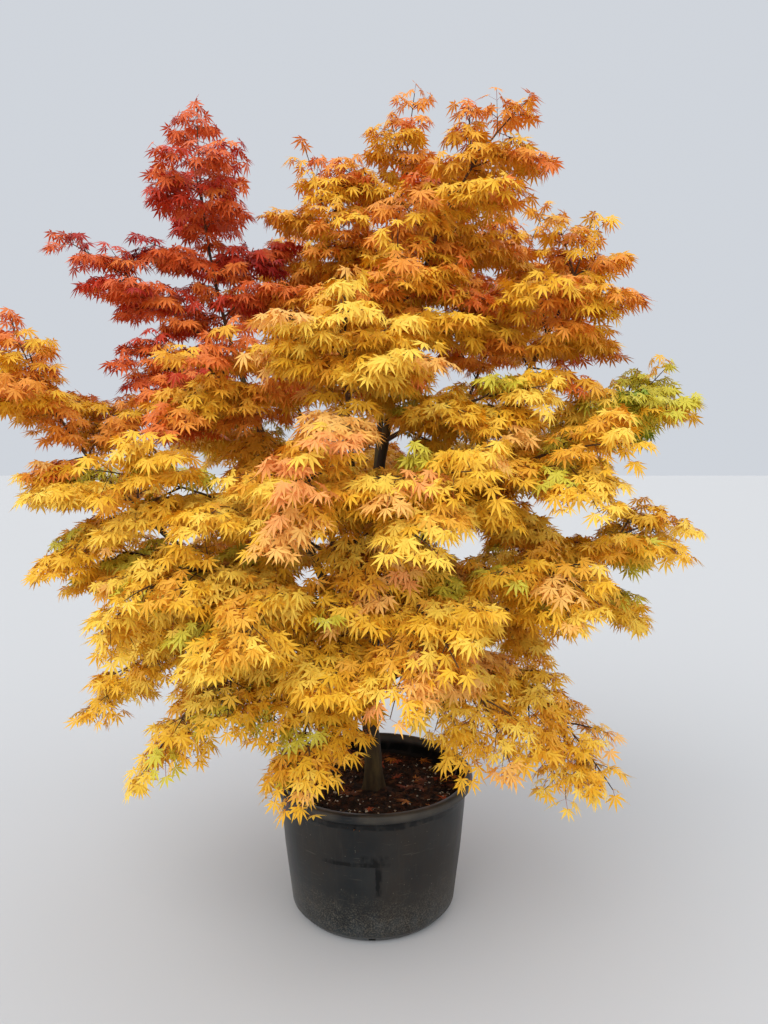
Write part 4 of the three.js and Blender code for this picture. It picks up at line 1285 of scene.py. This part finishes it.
    def leaf_pair(self, path: Array, share: float, tint: Tint) -> None:
        """Hangs two leaves from opposite sides of a twig."""
        point, tangent = path_at(path, share)
        across = self.across(tangent)
        for side in (1, -1):
            lean = self.leaf_lean + self.dice.about(self.leaf_lean_scatter)
            tilt = self.dice.about(self.leaf_tilt_scatter)
            self.hang_leaf(point, leaning(tangent, across * side, lean, tilt), tint)

    def end_leaves(self, path: Array, tint: Tint) -> None:
        """Hangs three leaves from a twig's end."""
        point, tangent = path_at(path, 1)
        across = self.across(tangent)
        for lean in self.end_leans:
            lean += self.dice.about(self.leaf_lean_scatter)
            self.hang_leaf(point, leaning(tangent, across, lean), tint)

    def hang_leaf(self, node: Array, direction: Array, tint: Tint) -> None:
        """Hangs one leaf on its stalk.

        Args:
            node: The twig's point that it hangs from.
            direction: Where its stalk points.
            tint: Its tint.
        """
        stalk = self.dice.between(*self.stalk_length)
        base = node + unit(direction + UP * self.stalk_lift) * stalk
        level = direction * np.array([1, 1, 0])
        if np.linalg.norm(level) < self.least_level:
            level = polar(360 * self.dice.roll(), 1, 0)
        level = turned_about(unit(level), UP, math.radians(self.dice.about(self.leaf_heading_scatter)))
        pitch = math.radians(self.dice.between(*self.leaf_pitch))
        along = level * math.cos(pitch) - UP * math.sin(pitch)
        face = level * math.sin(pitch) + UP * math.cos(pitch)
        face = turned_about(face, along, math.radians(self.dice.about(self.leaf_roll_scatter)))
        size = self.dice.between(*self.leaf_size)
        kind = int(self.dice.roll() * LEAF_KINDS)
        self.leaves.append(Leaf(node, base, along, face, size, kind, tint, self.mass.name))


@dataclass
class Crown:
    """All twigs, stalks and leaves of the masses, joined into pieces by kind and tint."""

    limbs: dict[str, LimbForm]
    kinds_seed: int = 31
    most_leaves: int = 13000
    leaf_roughness: float = 0.5
    leaf_specular: float = 0.3
    stalk_width: float = 0.0013
    stalk_nudge: float = 0.01
    stalk_dark: Colour = (0.54, 0.18, 0.10)
    stalk_pale: Colour = (0.70, 0.33, 0.14)
    most_depth: float = 1.14
    leaf_middle: float = 0.4
    pot_margin: float = 0.01
    box_margin: float = 0.02
    limb_margin: float = 0.010
    limb_samples: int = 60

    def __post_init__(self) -> None:
        """Starts without leaves or twigs."""
        self.leaves: list[Leaf] = []
        self.arcs: dict[tuple[int, int], list[Arc]] = defaultdict(list)

    def grow(self) -> None:
        """Grows every mass, and leaves out the leaves that have no room."""
        grown = 0
        for number, mass in enumerate(MASSES):
            growth = Growth(mass, number, self.limbs[mass.parent])
            growth.grow()
            grown += len(growth.leaves)
            self.leaves += [leaf for leaf, keep in zip(growth.leaves, self.has_room(growth)) if keep]
            for arc in growth.arcs:
                self.arcs[(len(arc.path), arc.sides)].append(arc)
        log.info("%d leaves of %d kept", len(self.leaves), grown)

    def has_room(self, growth: Growth) -> Array:
        """Whether each leaf of a mass lies within reach, out of the pot and clear of the limbs."""
        bases = np.array([leaf.base for leaf in growth.leaves])
        reaches = np.array([leaf.along * leaf.size for leaf in growth.leaves])
        middles, tips = bases + reaches * self.leaf_middle, bases + reaches
        room = growth.space.depth(middles) < self.most_depth
        for points in (middles, tips):
            room &= ~in_pot(points, self.pot_margin)
            room &= (points > np.array(CAD_BOX[0]) - self.box_margin).all(axis=1)
            room &= (points < np.array(CAD_BOX[1]) + self.box_margin).all(axis=1)
        shares = np.linspace(0, 1, self.limb_samples)
        for limb in self.limbs.values():
            for point, radius in zip(limb.curve.point(shares), limb.wall(shares)):
                room &= np.linalg.norm(middles - point, axis=1) > radius + self.limb_margin
        return room

    def dress(self) -> None:
        """Builds the pieces of leaves, each of one tint, and those of stalks and twigs."""
        dice, shape = Dice(self.kinds_seed), LeafShape()
        kinds = np.array([shape.corners(dice) for _ in range(LEAF_KINDS)])
        for tint in Tint:
            leaves = [leaf for leaf in self.leaves if leaf.tint is tint]
            name = "leaves_" + tint.name.lower()
            material = PlainFinish(name, tint.colour, self.leaf_roughness, self.leaf_specular).material()
            for start in range(0, len(leaves), self.most_leaves):
                part = name + (f"_{1 + start // self.most_leaves}" if start else "")
                share = leaves[start:start + self.most_leaves]
                self.dress_leaves(part, share, kinds, shape.faces(), material)
        self.dress_stalks()
        self.dress_twigs()

    def dress_leaves(self, name: str, leaves: list[Leaf], kinds: Array, faces: Array,
                     material: bpy.types.Material) -> None:
        """Builds one piece of leaves of one tint.

        Args:
            name: The piece's name.
            leaves: Its leaves.
            kinds: The corners of each kind of leaf.
            faces: The faces of a leaf.
            material: What they are made of.
        """
        along = np.array([leaf.along for leaf in leaves])
        face = np.array([leaf.face for leaf in leaves])
        turn = np.stack([along, np.cross(face, along), face], axis=1)
        sizes = np.array([leaf.size for leaf in leaves])
        local = kinds[[leaf.kind for leaf in leaves]] * sizes[:, None, None]
        points = np.einsum("nvk,nkj->nvj", local, turn) + np.array([leaf.base for leaf in leaves])[:, None]
        pile = MeshPile()
        pile.add_copies(points, faces)
        piece = pile.build(name, material)
        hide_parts(*sorted({leaf.mass for leaf in leaves}))
        leaves[0].tint.slot

    def dress_stalks(self) -> None:
        """Builds the piece of all stalks."""
        nodes = np.array([leaf.node for leaf in self.leaves])
        bases = np.array([leaf.base for leaf in self.leaves])
        aside = unit(np.cross(bases - nodes, UP + self.stalk_nudge)) * self.stalk_width / 2
        pile = MeshPile()
        pile.add_copies(np.stack([nodes - aside, nodes + aside, bases + aside, bases - aside], axis=1),
                        np.array([(0, 1, 2, 3)]))
        finish = MottledFinish("leaf_stalk", self.stalk_dark, self.stalk_pale)
        pile.build("leaf_stalks", finish.material())

    def dress_twigs(self) -> None:
        """Builds the piece of all stems and twigs of the masses."""
        pile = MeshPile()
        for (points, sides), arcs in self.arcs.items():
            shares = np.linspace(0, 1, points)
            radii = np.array([lerp(arc.foot, arc.tip, shares) for arc in arcs])
            pile.add_tubes(np.array([arc.path for arc in arcs]), radii, sides)
        piece = pile.build("twigs", MottledFinish().material(), smooth=True)


@dataclass(frozen=True)
class Ridge:
    """One wave of a limb's relief: how many ridges go round, its length along the limb, and its depth."""

    count: int
    wave: float
    depth: float


@dataclass
class Wood:
    """The trunk and limbs, each a mesh with the bark's relief."""

    mix_level: float = 0.3703
    fork_height: float = 0.800
    fork_heading: float = 185
    fork_reach: float = 0.030
    trunk_bend: float = 0.4
    trunk_heading: float = -90
    trunk_radius: float = 0.027
    trunk_top_radius: float = 0.025
    flare_radius: float = 0.037
    flare_height: float = 0.042
    flare_lobes: int = 5
    flare_lobe_depth: float = 0.16
    ring_step: float = 0.011
    fewest_rings: int = 12
    trunk_sides: int = 40
    thick_sides: int = 18
    thin_sides: int = 14
    thick_foot: float = 0.013
    first_seed: int = 500
    collar_swell: float = 0.22
    collar_length: float = 0.018
    collar_thick_foot: float = 0.012
    thick_collar: float = 0.035
    thin_collar: float = 0.025
    tip_taper: float = 0.55
    twist: float = 4
    ridges: tuple[Ridge, ...] = (Ridge(1, 0.31, 0.04), Ridge(2, 0.17, 0.03), Ridge(3, 0.11, 0.022),
                                 Ridge(5, 0.07, 0.014), Ridge(7, 0.045, 0.010))

    def __post_init__(self) -> None:
        """Lays out the trunk and limbs."""
        foot = np.array([0, 0, self.mix_level])
        top = polar(self.fork_heading, self.fork_reach, self.fork_height)
        bend = np.array([0, 0, lerp(foot[2], top[2], self.trunk_bend)])
        curve = Bend(foot, bend, top)
        trunk = LimbForm(curve, self.trunk_radius, self.trunk_top_radius, self.trunk_heading)
        self.limbs: dict[str, LimbForm] = {"trunk": trunk}
        for limb in LIMBS:
            curve = branch_curve(limb, self.limbs[limb.parent])
            self.limbs[limb.name] = LimbForm(curve, limb.foot, limb.tip, limb.heading)

    def dress(self) -> None:
        """Builds every limb's piece."""
        bark = BarkFinish().material()
        for number, (name, limb) in enumerate(self.limbs.items()):
            pile = MeshPile()
            pile.add_rings(self.rings(name, limb, Dice(self.first_seed + number))[None])
            piece = pile.build(name + "_bark", bark, smooth=True)
            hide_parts(name)

    def rings(self, name: str, limb: LimbForm, dice: Dice) -> Array:
        """The corners of a limb's rings.

        Args:
            name: The limb's name.
            limb: Its curve and radii.
            dice: Where its relief comes from.

        Returns:
            Rings by sides by 3.
        """
        is_trunk = name == "trunk"
        limb_sides = self.thick_sides if limb.foot > self.thick_foot else self.thin_sides
        sides = self.trunk_sides if is_trunk else limb_sides
        shares = np.linspace(0, 1, max(self.fewest_rings, int(limb.curve.length / self.ring_step)))
        turns = np.arange(sides) * 2 * math.pi / sides
        centres, along = limb.curve.point(shares), limb.curve.tangent(shares)
        side = np.array([1.0, 0, 0]) if is_trunk else polar(limb.heading + 90, 1, 0)
        first = unit(side - along * (along @ side)[:, None])
        second = np.cross(along, first)
        height = shares * limb.curve.length
        radii = limb.wall(shares)[:, None] * np.ones(sides)
        if is_trunk:
            flare = np.exp(-height / self.flare_height)[:, None]
            radii = radii + (self.flare_radius - self.trunk_radius) * flare
            radii = radii * (1 + self.flare_lobe_depth * flare * np.cos(self.flare_lobes * turns))
        else:
            collar = self.thick_collar if limb.foot > self.collar_thick_foot else self.thin_collar
            swell = self.collar_swell * np.exp(-((height - collar) / self.collar_length) ** 2)
            radii = radii * (1 + swell)[:, None]
        radii = radii * (1 + self.relief(height[:, None], turns[None], dice))
        radii[-1] *= self.tip_taper
        around = first[:, None] * np.cos(turns)[:, None] + second[:, None] * np.sin(turns)[:, None]
        return centres[:, None] + around * radii[..., None]

    def relief(self, height: Array, turns: Array, dice: Dice) -> Array:
        """Shallow swellings and ridges, as shares of the radius."""
        total = np.zeros(np.broadcast(height, turns).shape)
        for ridge in self.ridges:
            phase, twist = 2 * math.pi * dice.roll(), dice.about(self.twist)
            round_it = np.cos(ridge.count * turns + phase + twist * height / ridge.wave)
            along_it = np.cos(2 * math.pi * height / ridge.wave + 2 * math.pi * dice.roll())
            total = total + ridge.depth * round_it * along_it
        return total


@dataclass
class Pot:
    """The moulded tub: a turned wall with a rounded lip and drain notches at its foot."""

    rim_radius: float = 0.320
    height: float = 0.427
    neck_radius: float = 0.301
    waist_radius: float = 0.284
    waist_height: float = 0.200
    foot_radius: float = 0.260
    base_radius: float = 0.233
    foot_corner: Span = (0.2395, 0.0022)
    wall_foot: float = 0.027
    wall_from: float = 0.05
    wall_rows: int = 12
    wall: float = 0.005
    lip: float = 0.027
    lip_round: float = 0.008
    lip_steps: int = 5
    inner_bevel: Span = (0.004, 0.003)
    inner_foot: float = 0.30
    segments: int = 144
    drains: int = 6
    drain_low: float = 0.006
    drain_low_radius: float = 0.2448
    drain_high: float = 0.018
    drain_high_radius: float = 0.2555
    drain_depth: float = 0.02

    def outer_radius(self, height: float) -> float:
        """The outer wall's radius at a height."""
        if height < self.waist_height:
            return lerp(self.foot_radius, self.waist_radius, height / self.waist_height)
        span = self.height - self.lip - self.waist_height
        return lerp(self.waist_radius, self.neck_radius, (height - self.waist_height) / span)

    def profile(self) -> list[tuple[float, float]]:
        """Radius and height round the pot's section, from the middle of its underside to its inner wall."""
        lip_foot = self.height - self.lip
        points = [(0.0, 0.0), (self.base_radius / 2, 0.0), (self.base_radius, 0.0), self.foot_corner]
        points += [(self.drain_low_radius, self.drain_low), (self.drain_high_radius, self.drain_high)]
        points += [(self.outer_radius(self.wall_foot), self.wall_foot)]
        points += [(self.outer_radius(h), h) for h in np.linspace(self.wall_from, lip_foot, self.wall_rows)]
        corner, turn = self.lip_round, np.radians(np.linspace(-90, 0, self.lip_steps))
        for middle, angles in ((lip_foot + corner, turn), (self.height - corner, turn + math.pi / 2)):
            for angle in angles:
                points.append((self.rim_radius - corner + corner * math.cos(angle),
                               middle + corner * math.sin(angle)))
        inner = self.neck_radius - self.wall
        points += [(inner + self.inner_bevel[0], self.height), (inner, self.height - self.inner_bevel[1])]
        points += [(inner, lip_foot), (self.outer_radius(self.inner_foot) - self.wall, self.inner_foot)]
        return points

    def dress(self) -> None:
        """Builds the pot's piece."""
        profile = np.array(self.profile())
        turns = np.arange(self.segments) * 2 * math.pi / self.segments - math.pi / 2
        rings = np.stack([profile[:, :1] * np.cos(turns), profile[:, :1] * np.sin(turns),
                          np.repeat(profile[:, 1:], self.segments, axis=1)], axis=-1)
        pile = MeshPile()
        pile.add_rings(rings[None], capped=False)
        walls = pile.faces[0].reshape(len(profile) - 1, self.segments, 4)
        row = int(np.argmin(np.abs(profile[:, 1] - self.drain_low)))
        cut = [(drain * self.segments // self.drains + step) % self.segments
               for drain in range(self.drains) for step in (-1, 0)]
        keep = np.ones(walls.shape[:2], bool)
        keep[row, cut] = False
        pile.faces[0] = walls[keep]
        for first in cut[::2]:
            self.add_drain(pile, rings[row:row + 2], first)
        piece = pile.build("pot_shell", PotFinish().material(), smooth=True)
        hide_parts("pot")

    def add_drain(self, pile: MeshPile, rings: Array, first: int) -> None:
        """Adds the walls of one notch.

        Args:
            pile: The pot's faces.
            rings: The rings under and over the notch.
            first: The notch's first corner round the ring.
        """
        picks = [(first + step) % self.segments for step in range(3)]
        outer = rings[:, picks]
        inner = outer - unit(outer * np.array([1, 1, 0])) * self.drain_depth
        points = np.concatenate([outer.reshape(-1, 3), inner.reshape(-1, 3)])
        faces = [(0, 1, 7, 6), (1, 2, 8, 7), (4, 3, 9, 10), (5, 4, 10, 11), (3, 0, 6, 9), (2, 5, 11, 8),
                 (6, 7, 10, 9), (7, 8, 11, 10)]
        pile.add(points, np.array(faces))


@dataclass(frozen=True)
class Wave:
    """One wave of the bed: its height, its phase to a metre outwards and its lobes round the trunk."""

    height: float
    per_metre: float
    lobes: int


@dataclass(frozen=True)
class Lumps:
    """One kind of loose lump on the bed: the piece's name, how many, their usual size and their finish."""

    name: str
    count: int
    size: tuple[float, float, float]
    finish: MixFinish


@dataclass(frozen=True)
class Fallen:
    """One kind of fallen leaf: the piece's name and its two tones."""

    name: str
    dark: Colour
    pale: Colour


@dataclass
class Mix:
    """The bark mix in the pot: an uneven bed with loose chips, pale flecks and fallen leaves."""

    level: float = 0.368
    radius: float = 0.2955
    rings: int = 40
    segments: int = 96
    seed: int = 77
    edge_from: float = 0.2
    edge_fall: float = 0.008
    calm_reach: float = 0.06
    swell: Wave = Wave(0.003, 71, 3)
    ripple: Wave = Wave(0.002, 40, 5)
    trunk_gap: float = 0.05
    wall_gap: float = 0.012
    lumps: tuple[Lumps, ...] = (
        Lumps("mix_chips", 2600, (0.016, 0.009, 0.004), MixFinish("mix_chips")),
        Lumps("mix_pale_chips", 420, (0.020, 0.009, 0.004),
              MixFinish("mix_pale_chips", (0.22, 0.13, 0.08), (0.36, 0.24, 0.15), (0.50, 0.36, 0.24))),
        Lumps("mix_flecks", 240, (0.0075, 0.0065, 0.0055),
              MixFinish("mix_flecks", (0.74, 0.70, 0.62), (0.86, 0.83, 0.76), (0.93, 0.91, 0.86))),
    )
    lump_ranges: tuple[Span, ...] = ((0.4, 1.5), (0.5, 1.4), (0.5, 1.3))
    lump_corner_range: Span = (0.6, 1)
    lump_tilt: float = 70
    lump_tilt_middle: float = 0.35
    lump_lift: float = 0.002
    fallen: tuple[Fallen, ...] = (Fallen("fallen_rust", (0.50, 0.19, 0.09), (0.72, 0.33, 0.15)),
                                  Fallen("fallen_brown", (0.34, 0.17, 0.09), (0.54, 0.31, 0.16)),
                                  Fallen("fallen_gold", (0.68, 0.39, 0.12), (0.88, 0.60, 0.22)))
    fallen_count: int = 15
    fallen_size: Span = (0.032, 0.05)
    fallen_droop: float = 0.12
    fallen_tilt: float = 50
    fallen_lift: float = 0.009
    fallen_scale: float = 45

    def surface(self, reach: Array, turn: Array) -> Array:
        """The bed's height at a distance from the pot's axis and a turn in radians."""
        fall = np.clip((reach - self.edge_from) / (self.radius - self.edge_from), 0, 1) * self.edge_fall
        swell = self.swell.height * np.sin(reach * self.swell.per_metre + self.swell.lobes * turn)
        ripple = self.ripple.height * np.cos(self.ripple.lobes * turn + reach * self.ripple.per_metre)
        return self.level - fall + (swell + ripple) * np.clip(reach / self.calm_reach, 0, 1)

    def dress(self) -> None:
        """Builds the bed, its chips, flecks and fallen leaves."""
        dice = Dice(self.seed)
        reach = np.linspace(0, self.radius, self.rings)[:, None]
        turns = np.arange(self.segments)[None] * 2 * math.pi / self.segments
        heights = self.surface(reach, turns)
        rings = np.stack([reach * np.cos(turns), reach * np.sin(turns), heights], axis=-1)
        pile = MeshPile()
        pile.add_rings(rings[None, ::-1], capped=False)
        bed = pile.build("mix_bed", MixFinish("mix_bed").material(), smooth=True)
        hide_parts("potting_mix")
        for lumps in self.lumps:
            self.scatter(lumps, dice)
        for fallen in self.fallen:
            self.lay(fallen, dice)

    def places(self, count: int, dice: Dice) -> Iterator[tuple[Array, float]]:
        """Places on the bed, clear of the trunk's foot and the wall, each with a turn in radians."""
        for _ in range(count):
            reach = self.trunk_gap + (self.radius - self.trunk_gap - self.wall_gap) * math.sqrt(dice.roll())
            turn = 360 * dice.roll()
            height = float(self.surface(np.array(reach), np.array(math.radians(turn))))
            yield polar(turn, reach, height), 2 * math.pi * dice.roll()

    def scatter(self, lumps: Lumps, dice: Dice) -> None:
        """Scatters lumps over the bed as one piece.

        Args:
            lumps: Their kind.
            dice: Where their places come from.
        """
        corners = np.array([(x, y, z) for z in (-0.5, 0.5) for y in (-0.5, 0.5) for x in (-0.5, 0.5)])
        faces = np.array([(0, 2, 3, 1), (4, 5, 7, 6), (0, 1, 5, 4), (2, 6, 7, 3), (0, 4, 6, 2),
                          (1, 3, 7, 5)])
        copies = []
        for place, turn in self.places(lumps.count, dice):
            scale = np.array(lumps.size) * [dice.between(*span) for span in self.lump_ranges]
            lump = corners * scale * np.array([[dice.between(*self.lump_corner_range)] for _ in corners])
            axis = lying_axis(dice)
            tilt = math.radians(self.lump_tilt) * (dice.roll() - self.lump_tilt_middle)
            copies.append(laid(lump, turn, axis, tilt) + place + UP * self.lump_lift)
        pile = MeshPile()
        pile.add_copies(np.array(copies), faces)
        pile.build(lumps.name, lumps.finish.material())

    def lay(self, fallen: Fallen, dice: Dice) -> None:
        """Lays fallen leaves on the bed as one piece.

        Args:
            fallen: Their kind.
            dice: Where their places come from.
        """
        shape = LeafShape(droop=self.fallen_droop)
        copies = []
        for place, turn in self.places(self.fallen_count, dice):
            corners = shape.corners(dice) * dice.between(*self.fallen_size)
            axis = lying_axis(dice)
            tilt = math.radians(dice.about(self.fallen_tilt))
            copies.append(laid(corners, turn, axis, tilt) + place + UP * self.fallen_lift)
        pile = MeshPile()
        pile.add_copies(np.array(copies), shape.faces())
        finish = MottledFinish(fallen.name, fallen.dark, fallen.pale, self.fallen_scale)
        pile.build(fallen.name, finish.material())


def lying_axis(dice: Dice, lift: float = 0.02) -> Array:
    """A nearly level unit axis that something loose is tilted about."""
    return unit(np.array([dice.about(1), dice.about(1), lift]))


def laid(corners: Array, turn: float, axis: Array, tilt: float) -> Array:
    """Corners turned about the vertical and then tilted about an axis, both in radians."""
    return np.array([turned_about(turned_about(corner, UP, turn), axis, tilt) for corner in corners])


@dataclass(frozen=True)
class Lamp:
    """A far, soft light: the way to it, how wide it looks in degrees, and its strength."""

    name: str
    way: tuple[float, float, float]
    spread: float
    strength: float


@dataclass
class Studio:
    """The pale floor, the soft light and the camera."""

    floor_size: float = 60.0
    floor_colour: Colour = (0.80, 0.80, 0.80)
    floor_roughness: float = 0.9
    floor_specular: float = 0.1
    sky: Colour = (0.90, 0.92, 0.95)
    sky_strength: float = 0.80
    lamps: tuple[Lamp, ...] = (Lamp("key", (-0.55, -0.75, 1.0), 60, 1.5),
                               Lamp("fill", (0.8, -0.7, 0.5), 90, 0.7),
                               Lamp("rim", (0.1, 0.8, 0.8), 90, 0.5))
    camera_place: tuple[float, float, float] = (0.035, -2.405, 1.489)
    camera_pitch: float = 5.34
    lens: float = 27.03
    sensor: float = 36.0

    def dress(self) -> None:
        """Builds the floor, the lights and the camera."""
        self.add_floor()
        self.add_sky()
        for lamp in self.lamps:
            self.add_lamp(lamp)
        self.add_camera()
        settings = bpy.context.scene.view_settings
        settings.view_transform = "Standard"
        settings.look = "None"

    def add_floor(self) -> None:
        """Adds the plain floor."""
        half = self.floor_size / 2
        mesh = bpy.data.meshes.new("floor")
        mesh.from_pydata([(-half, -half, 0), (half, -half, 0), (half, half, 0), (-half, half, 0)], [],
                         [(0, 1, 2, 3)])
        finish = PlainFinish("floor", self.floor_colour, self.floor_roughness, self.floor_specular)
        mesh.materials.append(finish.material())
        floor = bpy.data.objects.new("floor", mesh)
        bpy.context.scene.collection.objects.link(floor)

    def add_sky(self) -> None:
        """Adds the even light from all round."""
        world = bpy.data.worlds.new("soft_sky")
        world.use_nodes = True
        background = world.node_tree.nodes["Background"]
        background.inputs["Color"].default_value = linear(self.sky)
        background.inputs["Strength"].default_value = self.sky_strength
        bpy.context.scene.world = world

    def add_lamp(self, lamp: Lamp) -> None:
        """Adds one light."""
        light = bpy.data.lights.new(lamp.name, "SUN")
        light.angle, light.energy = math.radians(lamp.spread), lamp.strength
        holder = bpy.data.objects.new(lamp.name, light)
        holder.rotation_euler = (-Vector(lamp.way)).to_track_quat("-Z", "Y").to_euler()
        bpy.context.scene.collection.objects.link(holder)

    def add_camera(self) -> None:
        """Places the camera as the photo was taken."""
        lens = bpy.data.cameras.new("camera")
        lens.lens, lens.sensor_width = self.lens, self.sensor
        holder = bpy.data.objects.new("camera", lens)
        holder.location = self.camera_place
        holder.rotation_euler = (math.radians(90 - self.camera_pitch), 0, 0)
        bpy.context.scene.collection.objects.link(holder)
        bpy.context.scene.camera = holder


def main() -> None:
    """Builds the pot, the wood and the crown in order, then the studio."""
    logging.basicConfig(level=logging.INFO, format="%(message)s")
    Pot().dress()
    Mix().dress()
    wood = Wood()
    wood.dress()
    crown = Crown(wood.limbs)
    crown.grow()
    crown.dress()
    Studio().dress()
    bpy.context.view_layer.update()
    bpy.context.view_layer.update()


if __name__ == "__main__":
    main()
